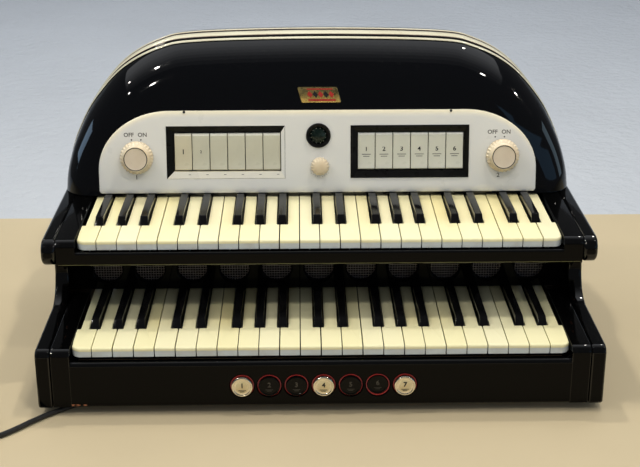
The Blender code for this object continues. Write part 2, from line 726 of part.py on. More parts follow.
def control_panel():
    """Sheet with a softly rolled edge, two windows for the switch trays and holes for the spindles."""
    plane = face_plane()
    obj = as_object("control_panel", rolled_panel(), PANEL, plane)
    for side in ("left", "right"):
        x = between(mirrored(side) * WINDOW_X[0], mirrored(side) * WINDOW_X[1])
        cut(obj, f"window_{side}", box((x[0] - GAP, x[1] + GAP), (-10, 10),
                                       (WINDOW_H[0] - GAP, WINDOW_H[1] + GAP)), plane)
    holes = {"eye": (*EYE_AT, 12.8), "tuning": (*TUNING_AT, 3.6), "left_knob": (*KNOB_AT["left"], 3.6),
             "right_knob": (*KNOB_AT["right"], 3.6)}
    for name, (x, h, radius) in holes.items():
        cut(obj, f"hole_{name}", prism(circle(x, h, radius, 16), "Y", -10, 10), plane)


def switch_frame(side):
    """Black tray that holds six tabs. The right one stands proud of the panel, the left one is sunk."""
    plane = face_plane()
    front = -4.6 if side == "right" else -3.4
    x = between(mirrored(side) * WINDOW_X[0], mirrored(side) * WINDOW_X[1])
    obj = as_object(f"switch_frame_{side}", box(x, (front, 20), WINDOW_H), BLACK_PLASTIC, plane)
    start = TABS_FROM[side]
    well = box((start - 0.8, start + 6 * TAB_PITCH + 0.6), (front - 2, 17), (TAB_LOW - 1.5, TAB_HIGH + 1.5))
    cut(obj, f"tab_well_{side}", well, plane)
    soften(obj, 0.8, 1)


def switch_tab(side, number):
    """Rocker tab, dished a little, on an axle across its middle."""
    plane = face_plane()
    x = TABS_FROM[side] + (number - 0.5) * TAB_PITCH
    half = (TAB_PITCH - 1.0) / 2
    low, high = -(TAB_HIGH - TAB_LOW) / 2, (TAB_HIGH - TAB_LOW) / 2
    side_view = [(-8.5, low), (-9.6, low + 1.5), (-8.6, 0), (-9.6, high - 1.5), (-8.5, high), (-4.5, high),
                 (-3, 4), (3, 3), (3, -3), (-3, -4), (-4.5, low)]
    bm = prism(side_view, "X", -half, half)
    as_object(f"switch_tab_{side}_{number}", bm, BEIGE, plane, at=(x, 9, (TAB_LOW + TAB_HIGH) / 2))


def knob(side):
    """Scalloped skirt under a round cap with a raised ring, on its spindle."""
    rim, top, height = 21.0, 16.2, 15.5
    profile = [(2.9, -12), (2.9, 1.0), (rim - 0.6, 1.0), (rim, 2.2), (rim, 5.4), (top + 0.8, 7.0),
               (top, height - 1.4), (top - 1.2, height), (top - 2.6, height - 0.7), (0, height - 0.3)]
    bm = turned(profile, 32, 16, 1.3, (3, 4))
    x, h = KNOB_AT[side]
    as_object(f"knob_{side}", bm, KNOB_CREAM, face_plane(), at=(x, -GAP - PANEL_THICK - 0.3, h))


def tuning_knob():
    profile = [(2.9, -12), (2.9, 0.6), (11.6, 0.6), (11.8, 5), (10.6, 7.8), (7, 9.6), (0, 10.2)]
    bm = turned(profile, 28, 14, 0.9, (2, 3))
    as_object("tuning_knob", bm, KNOB_CREAM, face_plane(), at=(TUNING_AT[0], -GAP - PANEL_THICK - 0.3,
                                                             TUNING_AT[1]))


def tuning_eye():
    """Bezel with the domed end of an indicator valve in it."""
    profile = [(0, -32), (11.9, -30), (11.9, 0.3), (15.4, 0.3), (15.4, 1.6), (14.2, 3.3), (11.4, 3.3),
               (10.6, 2.0), (5.5, 3.8), (0, 4.4)]
    as_object("tuning_eye", turned(profile, 20), GLASS, face_plane(), at=(EYE_AT[0], -GAP - PANEL_THICK,
                                                                        EYE_AT[1]))


def plain_plate():
    """Bare slanted plate above the panel."""
    outline = [(-26, 9.6), (23, 9.6), (28.5, -9.6), (-20.5, -9.6)]
    as_object("plain_plate", prism(rounded(outline, 1.2, 3), "Y", -1.6, -0.35), GILT, face_plane(),
              at=(0.8, 0, PLATE_H))


# Inside

def reed_chest():
    """Wind chest behind the lower manual, with the reed chambers open to the front."""
    obj = as_object("reed_chest", box((-240, 240), (12, 120), (BASE_TOP + GAP, 140)), WOOD)
    chambers = bmesh.new()
    for k in range(12):
        x = (k - 5.5) * 38
        box((x - 14, x + 14), (5, 70), (92, 128), chambers)
    cut(obj, "reed_chambers", chambers)


def amplifier_chassis():
    """Folded tray behind the upper manual, with valves and the mains transformer."""
    obj = as_object("amplifier_chassis", box((-200, 200), (100, 180), (154.3, 196)), STEEL)
    for number, x in enumerate((-60, -10, 40, 90, 140), 1):
        join(obj, f"valve_{number}", prism(circle(x, 140, 10, 12), "Z", 190, 250))
    join(obj, "transformer", box((-185, -115), (108, 172), (190, 262)))


# Mains lead

def tube(name, points, radius, look, resolution, ends=True):
    curve = bpy.data.curves.new(name, "CURVE")
    curve.dimensions = "3D"
    curve.bevel_depth = radius * MM
    curve.bevel_resolution = resolution
    curve.use_fill_caps = ends
    line = curve.splines.new("POLY")
    line.points.add(len(points) - 1)
    for target, p in zip(line.points, points):
        target.co = (p[0] * MM, p[1] * MM, p[2] * MM, 1)
    obj = bpy.data.objects.new(name, curve)
    curve.materials.append(finish(*look))
    bpy.context.scene.collection.objects.link(obj)
    return obj


def cord_gland():
    """Tapered sleeve under the case, held by a lug on the base board."""
    profile = [(3.2, -24), (4.5, -22), (4.5, -4), (4.0, 6), (3.6, 14), (3.3, 14.0)]
    bm = turned(profile, 16)
    bmesh.ops.rotate(bm, cent=(0, 0, 0), matrix=Matrix.Rotation(-math.pi / 2, 3, "Z"), verts=bm.verts)
    start = Vector(ROUTE[0])
    bmesh.ops.translate(bm, vec=start + Vector((14.3, 0, 0)), verts=bm.verts)
    obj = as_object("cord_gland", bm, RUBBER)
    lug = box((start.x + 18, start.x + 34), (start.y - 8, start.y + 8), (3.5, FOOT_HEIGHT - GAP))
    join(obj, "gland_lug", lug)


def mains_cord():
    route = spline([Vector(p) for p in ROUTE], ROUTE_STEPS)
    tube("mains_cord", route, CORD_R, RUBBER, 2)
    return path_length(route)


def coil_turn(turns):
    """Point of the coil after so many turns: it spirals in and out, and climbs a layer where it reverses."""
    period = 2 * LAYER_TURNS
    phase = turns % period
    inward = phase if phase < LAYER_TURNS else period - phase
    radius = COIL_OUTER - COIL_STEP * inward
    if turns > LAYERS * LAYER_TURNS:
        radius = COIL_OUTER + COIL_STEP * (turns - LAYERS * LAYER_TURNS)
    height = FLOOR_Z
    for layer in range(1, LAYERS):
        share = min(max((turns - layer * LAYER_TURNS + 0.25) / 0.5, 0), 1)
        height += LAYER_STEP * share * share * (3 - 2 * share)
    angle = -math.pi / 2 - 2 * math.pi * turns
    return Vector((COIL_CENTRE[0] + radius * math.cos(angle), COIL_CENTRE[1] + radius * math.sin(angle), height))


def cord_coil():
    """The spare length, wound clockwise from the front, with a short tail down to the plug."""
    last = LAYERS * LAYER_TURNS + 0.25
    count = round(last * TURN_POINTS)
    points = [Vector(ROUTE[-1]) - Vector((GAP, 0, 0))]
    points += [coil_turn(last * k / count) for k in range(count + 1)]
    tail = [points[-2], points[-1]] + [Vector((COIL_CENTRE[0] + x, COIL_CENTRE[1] + y, z)) for x, y, z in TAIL]
    points += spline(tail, 9)[2:]
    tube("cord_coil", points, CORD_R, RUBBER, 1)
    return points


def path_length(points):
    return sum((b - a).length for a, b in zip(points, points[1:]))


def least_gap(points, radius):
    """Smallest clear distance between two stretches of the coil that aren't next to each other."""
    fine = []
    for a, b in zip(points, points[1:]):
        fine += [a.lerp(b, k / 4) for k in range(4)]
    along = [0.0]
    for a, b in zip(fine, fine[1:]):
        along.append(along[-1] + (b - a).length)
    apart = 6 * radius
    pairs = ((a - b).length for i, a in enumerate(fine) for j, b in enumerate(fine[i + 1:], i + 1)
             if along[j] - along[i] > apart)
    return min(pairs) - 2 * radius


def mains_plug():
    """Round two-pin plug lying on its side at the end of the tail."""
    profile = [(3.3, 0), (4.4, 0.3), (5.6, 19), (9, 21), (PLUG_R - 0.5, 24), (PLUG_R, 27), (PLUG_R, 43),
               (PLUG_R - 1.2, 45), (0, 45)]
    bm = turned(profile, 20)
    bmesh.ops.rotate(bm, cent=(0, 0, 0), matrix=Matrix.Rotation(math.pi, 3, "Z"), verts=bm.verts)
    x, y, z = TAIL[-1]
    at = (COIL_CENTRE[0] + x, COIL_CENTRE[1] + y + GAP, z)
    obj = as_object("mains_plug", bm, BLACK_PLASTIC, at=at)
    for side in (-1, 1):
        pin = prism(circle(at[0] + side * 9.5, at[2], 2.3, 12), "Y", at[1] + 40, at[1] + 64)
        join(obj, f"plug_pin_{side}", pin)


def main():
    clear_scene()
    base_board()
    lower_front_rail()
    button_felt()
    grille_board()
    grille_mesh()
    upper_shelf()
    for side in ("left", "right"):
        side_board(side)
        upper_cheek(side)
        switch_frame(side)
        knob(side)
        for number in range(1, 7):
            switch_tab(side, number)
    for number in range(1, 8):
        push_button(number)
    key_frame("lower", LOWER_FRONT_Y, LOWER_TOP, BASE_TOP + GAP, LOWER_CAP, LOOSE_LOWER)
    key_frame("upper", UPPER_FRONT_Y, UPPER_TOP, SHELF_TOP + GAP, UPPER_CAP, LOOSE_UPPER)
    hood_shell()
    hood_trim()
    rear_cover()
    control_panel()
    tuning_knob()
    tuning_eye()
    plain_plate()
    reed_chest()
    amplifier_chassis()
    cord_gland()
    free = mains_cord()
    coil = cord_coil()
    mains_plug()
    print(f"mains lead: {free:.0f} mm free and {path_length(coil):.0f} mm coiled")
    print(f"least gap of the coil to itself: {least_gap(coil, CORD_R):.2f} mm")


main()
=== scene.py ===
import math
import random

import bmesh
import bpy
from mathutils import Matrix, Vector


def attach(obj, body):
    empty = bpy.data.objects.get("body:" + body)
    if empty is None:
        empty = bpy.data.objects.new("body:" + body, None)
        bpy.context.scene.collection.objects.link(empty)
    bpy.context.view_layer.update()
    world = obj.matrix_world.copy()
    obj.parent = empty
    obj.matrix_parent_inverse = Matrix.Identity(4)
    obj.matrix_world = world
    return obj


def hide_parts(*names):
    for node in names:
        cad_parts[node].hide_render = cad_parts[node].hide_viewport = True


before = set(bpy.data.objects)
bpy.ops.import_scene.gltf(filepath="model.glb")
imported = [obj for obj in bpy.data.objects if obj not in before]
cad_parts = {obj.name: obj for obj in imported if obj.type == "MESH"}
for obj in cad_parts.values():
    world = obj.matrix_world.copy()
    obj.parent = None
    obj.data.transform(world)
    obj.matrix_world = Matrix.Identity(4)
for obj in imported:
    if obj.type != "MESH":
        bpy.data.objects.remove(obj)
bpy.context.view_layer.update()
mm = 0.001
sides = {"left": -1, "right": 1}
print("frame loaded")


def addObject(name, data):
    obj = bpy.data.objects.new(name, data)
    bpy.context.scene.collection.objects.link(obj)
    return obj


def angles(whole, steps):
    return [whole * k / steps for k in range(steps + 1)]


def quarterArc(steps):
    return [(math.cos(a), math.sin(a)) for a in angles(math.pi / 2, steps)]


def fullCircle(steps):
    return [(math.cos(a), math.sin(a)) for a in angles(2 * math.pi, steps)[:-1]]


# Camera: fitted to the key edges, which have a standard spacing

cameraSettings = {
    "place": (-0.0232, -1.5308, 0.7368),
    "pitch": 0.3698,  # radians below level
    "yaw": -0.0163,
    "roll": -0.0015,
    "lens": 74.49,
    "sensor": 36,
    "nearest": 0.05,
}


def makeCamera(s):
    pitch, yaw, roll = s["pitch"], s["yaw"], s["roll"]
    forward = Vector((-math.sin(yaw) * math.cos(pitch), math.cos(yaw) * math.cos(pitch), -math.sin(pitch)))
    right = Vector((math.cos(yaw), math.sin(yaw), 0))
    up = right.cross(forward)
    turnedRight = right * math.cos(roll) + up * math.sin(roll)
    turnedUp = up * math.cos(roll) - right * math.sin(roll)
    data = bpy.data.cameras.new("camera")
    data.lens = s["lens"]
    data.sensor_width = s["sensor"]
    data.clip_start = s["nearest"]
    camera = addObject("camera", data)
    axes = Matrix((turnedRight, turnedUp, -forward)).transposed()
    camera.matrix_world = Matrix.Translation(s["place"]) @ axes.to_4x4()
    bpy.context.scene.camera = camera


makeCamera(cameraSettings)
bpy.context.scene.view_settings.view_transform = "Standard"
print("camera placed")


# Finishes: one small class over the node tree, then one recipe for each kind of surface

class Finish:
    def __init__(self, name, colour, roughness, metallic=0.0, **sockets):
        self.material = bpy.data.materials.new(name)
        self.material.use_nodes = True
        self.tree = self.material.node_tree
        self.shader = self.tree.nodes["Principled BSDF"]
        plain = {"Base Color": (*colour, 1), "Roughness": roughness, "Metallic": metallic}
        for key, value in (plain | sockets).items():
            self.shader.inputs[key.replace("_", " ")].default_value = value

    def node(self, kind, **values):
        made = self.tree.nodes.new(kind)
        for key, value in values.items():
            setattr(made, key, value)
        return made

    def feed(self, socket, value):
        if isinstance(value, bpy.types.NodeSocket):
            self.tree.links.new(value, socket)
        else:
            socket.default_value = (*value, 1) if isinstance(value, tuple) else value

    def place(self, stretch=(1, 1, 1)):
        coords = self.node("ShaderNodeTexCoord")
        mapping = self.node("ShaderNodeMapping")
        mapping.inputs["Scale"].default_value = stretch
        self.feed(mapping.inputs["Vector"], coords.outputs["Object"])
        return mapping.outputs["Vector"]

    def noise(self, scale, detail=3.0, stretch=(1, 1, 1), roughness=0.5):
        made = self.node("ShaderNodeTexNoise")
        for key, value in (("Scale", scale), ("Detail", detail), ("Roughness", roughness)):
            made.inputs[key].default_value = value
        self.feed(made.inputs["Vector"], self.place(stretch))
        return made.outputs["Fac"]

    def spread(self, value, fromLow, fromHigh, toLow=0, toHigh=1):
        made = self.node("ShaderNodeMapRange")
        ends = {"From Min": fromLow, "From Max": fromHigh, "To Min": toLow, "To Max": toHigh}
        for key, number in ends.items():
            made.inputs[key].default_value = number
        self.feed(made.inputs["Value"], value)
        return made.outputs["Result"]

    def patches(self, scale, detail, low, high, toLow=0, toHigh=1, **more):
        return self.spread(self.noise(scale, detail, **more), low, high, toLow, toHigh)

    def times(self, one, two):
        made = self.node("ShaderNodeMath", operation="MULTIPLY")
        self.feed(made.inputs[0], one)
        self.feed(made.inputs[1], two)
        return made.outputs["Value"]

    def mix(self, share, one, two):
        made = self.node("ShaderNodeMix", data_type="RGBA")
        colours = [s for s in made.inputs if s.type == "RGBA"]
        for socket, value in zip((made.inputs[0], *colours), (share, one, two)):
            self.feed(socket, value)
        return next(s for s in made.outputs if s.type == "RGBA")

    def bump(self, height, distance, after=None):
        made = self.node("ShaderNodeBump")
        made.inputs["Distance"].default_value = distance
        self.feed(made.inputs["Height"], height)
        if after:
            self.feed(made.inputs["Normal"], after)
        return made.outputs["Normal"]

    def part(self, axis, vector):
        split = self.node("ShaderNodeSeparateXYZ")
        self.feed(split.inputs["Vector"], vector)
        return split.outputs[axis]

    def upward(self):
        return self.part("Z", self.node("ShaderNodeNewGeometry").outputs["Normal"])

    def tint(self):
        return self.node("ShaderNodeAttribute", attribute_name="tint").outputs["Fac"]

    def colour(self, output):
        self.feed(self.shader.inputs["Base Color"], output)

    def rough(self, output):
        self.feed(self.shader.inputs["Roughness"], output)

    def relief(self, height, distance, after=None):
        self.feed(self.shader.inputs["Normal"], self.bump(height, distance, after))


def darker(colour, share):
    return tuple(share * c for c in colour)


def pianoLacquer(name, colour, dust, shine):
    f = Finish(name, colour, 0.06, Specular_IOR_Level=shine)
    f.rough(f.patches(14, 4, 0.35, 0.7, 0.03, 0.07))
    specks = f.patches(900, 2, 0.63, 0.74, roughness=0.7)
    cloud = f.patches(9, 3, 0.4, 0.75)
    lying = f.spread(f.upward(), 0.3, 1.0)
    share = f.times(f.times(specks, cloud), f.times(lying, dust))
    f.colour(f.mix(share, colour, (0.35, 0.33, 0.30)))
    peel = f.bump(f.noise(60, 2), 0.00003)
    f.relief(f.noise(260, 2, (0.05, 1, 1)), 0.000006, peel)
    return f.material


def keyIvory(name, frontY):
    f = Finish(name, (0.87, 0.80, 0.50), 0.35, Coat_Weight=0.1, Coat_Roughness=0.25)
    betweenSharps = f.spread(f.part("Y", f.place()), frontY + 0.035, frontY + 0.07, 0.25, 1)
    aged = f.times(f.patches(16, 0, 0.3, 0.8, stretch=(1, 0.4, 1)), betweenSharps)
    base = f.mix(aged, (0.84, 0.79, 0.48), (0.81, 0.70, 0.33))
    toned = f.mix(f.times(f.tint(), 0.7), base, (0.84, 0.80, 0.56))
    grime = f.patches(50, 3, 0.6, 0.95, 0, 0.08, stretch=(1, 0.35, 1))
    f.colour(f.mix(grime, toned, (0.66, 0.54, 0.30)))
    f.rough(f.patches(40, 3, 0.3, 0.7, 0.3, 0.45))
    f.relief(f.noise(160, 2, (1, 0.2, 1)), 0.000006)
    return f.material


# Key body under the ivory cover: grey, with a bluish cast that paints the shade seen on the key fronts
def keyFront():
    f = Finish("keyFront", (0.62, 0.68, 0.70), 0.4)
    f.colour(f.mix(f.patches(60, 3, 0.4, 0.7), (0.62, 0.68, 0.70), (0.56, 0.59, 0.58)))
    f.relief(f.noise(500, 2, (1, 1, 0.2)), 0.00002)
    return f.material


def keyEbony():
    f = Finish("keyEbony", (0.004, 0.004, 0.0045), 0.15, Specular_IOR_Level=0.22)
    f.rough(f.patches(90, 3, 0.3, 0.7, 0.08, 0.17, stretch=(1, 0.3, 1)))
    f.relief(f.noise(300, 2, (1, 0.1, 1)), 0.00001)
    return f.material


def enamel():
    f = Finish("panelEnamel", (0.80, 0.80, 0.77), 0.3, Coat_Weight=0.3, Coat_Roughness=0.12)
    flat = f.mix(f.patches(6, 4, 0.35, 0.7), (0.81, 0.81, 0.78), (0.76, 0.76, 0.735))
    litRollShare = f.spread(f.upward(), 0.17, 0.42)  # painted highlight: the rolled edge is painted paler and warmer where it faces upwards, standing in for light falling on it
    speck = f.patches(260, 3, 0.71, 0.78, 0, 0.4, roughness=0.7)
    f.colour(f.mix(speck, f.mix(litRollShare, flat, (0.86, 0.80, 0.62)), (0.34, 0.31, 0.26)))
    f.rough(f.patches(30, 3, 0.3, 0.7, 0.26, 0.42))
    f.relief(f.noise(300, 2), 0.00003)
    return f.material


def agedPlastic(name, light, dark, scale=18.0, rough=0.32, crown=None):
    f = Finish(name, light, rough, Coat_Weight=0.2, Coat_Roughness=0.2)
    toned = f.mix(f.patches(scale, 4, 0.35, 0.7), light, dark)
    if crown:  # painted highlight: paler where it curves upwards, standing in for light on the tabs' top ends
        toned = f.mix(f.spread(f.upward(), 0.2, 0.45), toned, crown)
    speck = f.patches(420, 2, 0.66, 0.78, 0, 0.4, roughness=0.7)
    f.colour(f.mix(speck, toned, darker(dark, 0.45)))
    f.rough(f.patches(60, 2, 0.3, 0.7, rough - 0.06, rough + 0.1))
    f.relief(f.noise(500, 2), 0.00002)
    return f.material


def darkMoulding(name, colour=(0.005, 0.005, 0.005), rough=0.3):
    f = Finish(name, colour, rough, Specular_IOR_Level=0.15)
    f.colour(f.mix(f.patches(55, 4, 0.55, 0.8, 0, 0.6), colour, tuple(0.007 + c for c in colour)))
    f.rough(f.patches(120, 3, 0.3, 0.7, rough - 0.08, rough + 0.14))
    f.relief(f.noise(700, 2), 0.00003)
    return f.material


def feltRed():
    f = Finish("feltRed", (0.55, 0.03, 0.02), 0.95, Sheen_Weight=0.3)
    fibres = f.noise(1400, 4, (1, 0.4, 1), 0.7)
    f.colour(f.mix(f.spread(fibres, 0.3, 0.7), (0.62, 0.03, 0.018), (0.34, 0.014, 0.01)))
    f.relief(fibres, 0.0002)
    return f.material


def metal(name, colour, rough, grain=(1, 1, 1)):
    f = Finish(name, colour, rough, 1.0)
    f.colour(f.mix(f.patches(70, 4, 0.45, 0.75, 0, 0.7), colour, darker(colour, 0.55)))
    f.rough(f.patches(240, 3, 0.3, 0.7, rough - 0.08, rough + 0.12, stretch=grain))
    f.relief(f.noise(900, 2, grain), 0.00002)
    return f.material


def bareWood(name, light, dark):
    f = Finish(name, light, 0.6)
    rings = f.patches(26, 6, 0.3, 0.7, stretch=(0.08, 1, 1), roughness=0.6)
    grain = f.noise(300, 3, (0.03, 1, 1))
    f.colour(f.mix(f.spread(grain, 0.4, 0.8, 0, 0.5), f.mix(rings, light, dark), darker(dark, 0.6)))
    f.relief(grain, 0.0001)
    return f.material


def rubberBlack():
    f = Finish("rubberBlack", (0.012, 0.012, 0.012), 0.5)
    f.rough(f.patches(160, 3, 0.3, 0.7, 0.4, 0.65))
    f.relief(f.noise(1200, 2), 0.00005)
    return f.material


def trimCream():
    f = Finish("trimCream", (0.60, 0.58, 0.46), 0.22, Coat_Weight=0.4, Coat_Roughness=0.1)
    base = f.mix(f.patches(16, 4, 0.35, 0.7), (0.62, 0.60, 0.47), (0.50, 0.47, 0.34))
    f.colour(f.mix(f.patches(200, 3, 0.64, 0.76, 0, 0.5), base, (0.35, 0.24, 0.15)))
    f.relief(f.noise(300, 2), 0.00002)
    return f.material


def eyeGlass():
    f = Finish("eyeGlass", (0.004, 0.010, 0.008), 0.06, Specular_IOR_Level=0.3)
    f.colour(f.mix(f.patches(180, 3, 0.45, 0.75), (0.004, 0.010, 0.008), (0.02, 0.03, 0.025)))
    return f.material


finishes = {
    "lacquer": pianoLacquer("blackLacquer", (0.0010, 0.0010, 0.0011), 0.3, 0.11),
    "lacquerEdge": pianoLacquer("lacquerEdge", (0.0010, 0.0010, 0.0011), 0.1, 0.42),
    "blackCap": pianoLacquer("blackCap", (0.0008, 0.0008, 0.0009), 0.05, 0.16),
    "hood": pianoLacquer("hoodLacquer", (0.0008, 0.0010, 0.0018), 0.2, 0.45),
    "ivoryLower": keyIvory("ivoryLower", -0.188),
    "ivoryUpper": keyIvory("ivoryUpper", -0.109),
    # bluish grey key body: painted shade on the key fronts
    "front": keyFront(),
    "ebony": keyEbony(),
    "panel": enamel(),
    "felt": feltRed(),
    "cream": trimCream(),
    "glass": eyeGlass(),
    "rubber": rubberBlack(),
    "wood": bareWood("plainWood", (0.38, 0.25, 0.13), (0.24, 0.14, 0.07)),
    "wire": metal("grilleWire", (0.34, 0.31, 0.32), 0.5),
    "chrome": metal("brightRim", (0.80, 0.78, 0.74), 0.15),
    "capRim": metal("buttonRim", (0.86, 0.80, 0.66), 0.16),
    "gilt": metal("giltPlate", (0.80, 0.62, 0.25), 0.28),
    "steel": metal("zincSteel", (0.55, 0.55, 0.55), 0.38, (0.1, 1, 1)),
    "moulding": darkMoulding("blackMoulding"),
    "ink": darkMoulding("printInk", (0.02, 0.02, 0.022), 0.6),
    "cloth": darkMoulding("grilleCloth", (0.012, 0.011, 0.012), 0.9),
    # near-black felt and rail colours under the key heads: painted shade for the dark gap under the keys
    "shadedBedFelt": darkMoulding("shadedBedFelt", (0.020, 0.012, 0.012), 0.95),
    "shadedBedBlack": darkMoulding("shadedBedBlack", (0.008, 0.008, 0.008), 0.8),
    # the crown colours are painted highlights on the upward-curving top ends of the tabs
    "tab": agedPlastic("tabBeige", (0.65, 0.64, 0.52), (0.57, 0.55, 0.43), crown=(0.90, 0.88, 0.78)),
    "tabPale": agedPlastic("tabPale", (0.72, 0.72, 0.63), (0.64, 0.64, 0.54), crown=(0.90, 0.89, 0.82)),
    "tabYellow": agedPlastic("tabYellow", (0.70, 0.66, 0.50), (0.62, 0.56, 0.40), crown=(0.90, 0.86, 0.72)),
    "knob": agedPlastic("knobCream", (0.80, 0.71, 0.53), (0.72, 0.57, 0.38), 40, 0.28),
    "knobFace": agedPlastic("knobFace", (0.76, 0.67, 0.54), (0.69, 0.58, 0.45), 30, 0.35),
    "cap": agedPlastic("buttonIvory", (0.80, 0.70, 0.42), (0.66, 0.50, 0.24), 60, 0.25),
    "rose": agedPlastic("trimRose", (0.20, 0.13, 0.09), (0.10, 0.06, 0.04), 30, 0.3),
    "stopping": agedPlastic("brownStopping", (0.30, 0.10, 0.04), (0.16, 0.05, 0.02), 90, 0.6),
    "faded": agedPlastic("fadedPrint", (0.05, 0.05, 0.05), (0.13, 0.12, 0.11), 300, 0.6),
    "dimPrint": agedPlastic("dimPrint", (0.05, 0.045, 0.035), (0.03, 0.025, 0.02), 90, 0.5),
    # dim gold of the painted reflection line on the shelf's nose
    "olive": agedPlastic("paintedReflectionGold", (0.10, 0.10, 0.03), (0.06, 0.055, 0.015), 90, 0.4),
    "redInk": agedPlastic("plateRed", (0.45, 0.03, 0.02), (0.30, 0.02, 0.015)),
}
print("finishes made")


# Shape helpers, in millimetres

def roundedOutline(points, radii, steps=5):
    out = []
    for i, point in enumerate(points):
        here = Vector(point)
        radius = radii[i] if isinstance(radii, list) else radii
        if radius <= 0:
            out.append(tuple(here))
            continue
        before = (Vector(points[i - 1]) - here).normalized()
        after = (Vector(points[(i + 1) % len(points)]) - here).normalized()
        half = before.angle(after) / 2
        centre = here + (before + after).normalized() * (radius / math.sin(half))
        start = here + before * (radius / math.tan(half)) - centre
        end = here + after * (radius / math.tan(half)) - centre
        turn = math.atan2(start.x * end.y - start.y * end.x, start.dot(end))
        out += [tuple(centre + Matrix.Rotation(a, 2) @ start) for a in angles(turn, steps)]
    return out


def circleOutline(cx, cy, radius, steps=48):
    return [(cx + radius * x, cy + radius * y) for x, y in fullCircle(steps)]


def bridge(bm, one, two, closed=True):
    # faces between two rows of vertices, where a row may also be a single point
    count = max(len(one), len(two))
    faces = []
    for k in range(count if closed else count - 1):
        j = (k + 1) % count
        corners = (one[k % len(one)], one[j % len(one)], two[j % len(two)], two[k % len(two)])
        faces.append(bm.faces.new(list(dict.fromkeys(corners))))
    return faces


def bridgeAll(bm, rows, closed=True):
    return [face for one, two in zip(rows, rows[1:]) for face in bridge(bm, one, two, closed)]


def closeFaces(bm, faces, index=0):
    bmesh.ops.recalc_face_normals(bm, faces=faces)
    for face in faces:
        face.material_index = index
    return bm


def prism(outline, axis, low, high, bm=None, index=0):
    bm = bm or bmesh.new()
    ends = []
    for depth in (low, high):
        ends.append([])
        for point in outline:
            full = list(point)
            full.insert("XYZ".index(axis), depth)
            ends[-1].append(bm.verts.new(full))
    return closeFaces(bm, [bm.faces.new(end) for end in ends] + bridge(bm, *ends), index)


def boxed(x, y, z, bm=None, index=0):
    return prism([(x[0], y[0]), (x[1], y[0]), (x[1], y[1]), (x[0], y[1])], "Z", z[0], z[1], bm, index)


def lathe(profile, steps=64, lobes=0, depth=0.0, lobed=(), bm=None, index=0, centre=(0, 0, 0)):
    # profile: (radius, towards the player), spun about the local -Y axis
    bm = bm or bmesh.new()
    rows = []
    cx, cy, cz = centre
    for number, (radius, forward) in enumerate(profile):
        rows.append([])
        for a in angles(2 * math.pi, steps)[:-1] if radius else [0]:
            r = radius - (depth * (0.5 - 0.5 * math.cos(lobes * a)) if number in lobed else 0)
            rows[-1].append(bm.verts.new((cx + r * math.cos(a), cy - forward, cz + r * math.sin(a))))
    caps = [bm.faces.new(row) for row in (rows[0], rows[-1]) if len(row) > 1]
    return closeFaces(bm, bridgeAll(bm, rows) + caps, index)


def bevelled(bm, edges, width, segments):
    bmesh.ops.bevel(bm, geom=edges, offset=width, segments=segments, profile=0.5, affect="EDGES",
                    clamp_overlap=True)
    return bm


def softEdges(bm, width, segments, angle=35, keep=lambda edge: True):
    edges = [e for e in bm.edges
             if len(e.link_faces) == 2 and e.calc_face_angle(0) >= math.radians(angle) and keep(e)]
    return bevelled(bm, edges, width, segments)


def tidyFaces(bm):
    bmesh.ops.triangulate(bm, faces=[face for face in bm.faces if len(face.verts) > 4])
    return bm


def moved(bm, at=(0, 0, 0), turn=0.0, axis="Z"):
    bmesh.ops.rotate(bm, cent=(0, 0, 0), matrix=Matrix.Rotation(turn, 3, axis), verts=bm.verts)
    bmesh.ops.translate(bm, vec=at, verts=bm.verts)
    return bm


def meshFrom(name, bm):
    mesh = bpy.data.meshes.new(name)
    bm.to_mesh(mesh)
    bm.free()
    return mesh


def appendTo(target, bm):
    mesh = meshFrom("part", bm)
    target.from_mesh(mesh)
    bpy.data.meshes.remove(mesh)


def smoothShade(mesh, angle):
    mesh.shade_smooth()
    mesh.set_sharp_from_angle(angle=math.radians(angle))


def settle(obj, body="case", replace=()):
    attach(obj, body)
    if replace:
        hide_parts(*replace)
    return obj


def makePiece(name, bm, looks, slotName, body="case", plane=None, at=(0, 0, 0), smooth=35, replace=()):
    bmesh.ops.scale(bm, vec=(mm, mm, mm), verts=bm.verts)
    if looks == "lacquer":  # rounded edges are polished brighter than the flat boards
        looks = ("lacquer", "lacquerEdge")
        bm.normal_update()
        for face in bm.faces:
            face.material_index = 0 if max(abs(c) for c in face.normal) > 0.985 else 1
    mesh = meshFrom(name, bm)
    smoothShade(mesh, smooth)
    for look in ([looks] if isinstance(looks, str) else looks):
        mesh.materials.append(finishes[look])
    obj = addObject(name, mesh)
    obj.matrix_world = (plane or Matrix.Identity(4)) @ Matrix.Translation(Vector(at) * mm)
    return settle(obj, body, replace)


def lacquered(name, bm, node):
    return makePiece(name, bm, "lacquer", "black_lacquer", replace=(node,))


def carve(obj, cutters):
    # cutters: bmeshes in millimetres, in the object's own place
    for bm in cutters:
        bmesh.ops.scale(bm, vec=(mm, mm, mm), verts=bm.verts)
        bmesh.ops.recalc_face_normals(bm, faces=bm.faces)
        mesh = meshFrom("cutter", bm)
        cutter = addObject("cutter", mesh)
        cutter.matrix_world = obj.matrix_world
        bpy.context.view_layer.update()
        modifier = obj.modifiers.new("carve", "BOOLEAN")
        modifier.operation = "DIFFERENCE"
        modifier.solver = "EXACT"
        modifier.object = cutter
        evaluated = obj.evaluated_get(bpy.context.evaluated_depsgraph_get())
        made = bpy.data.meshes.new_from_object(evaluated)
        obj.modifiers.clear()
        old = obj.data
        obj.data = made
        bpy.data.meshes.remove(old)
        bpy.data.objects.remove(cutter)
        bpy.data.meshes.remove(mesh)
    smoothShade(obj.data, 30)


# Mains lead: one curve over the visible route and the coil

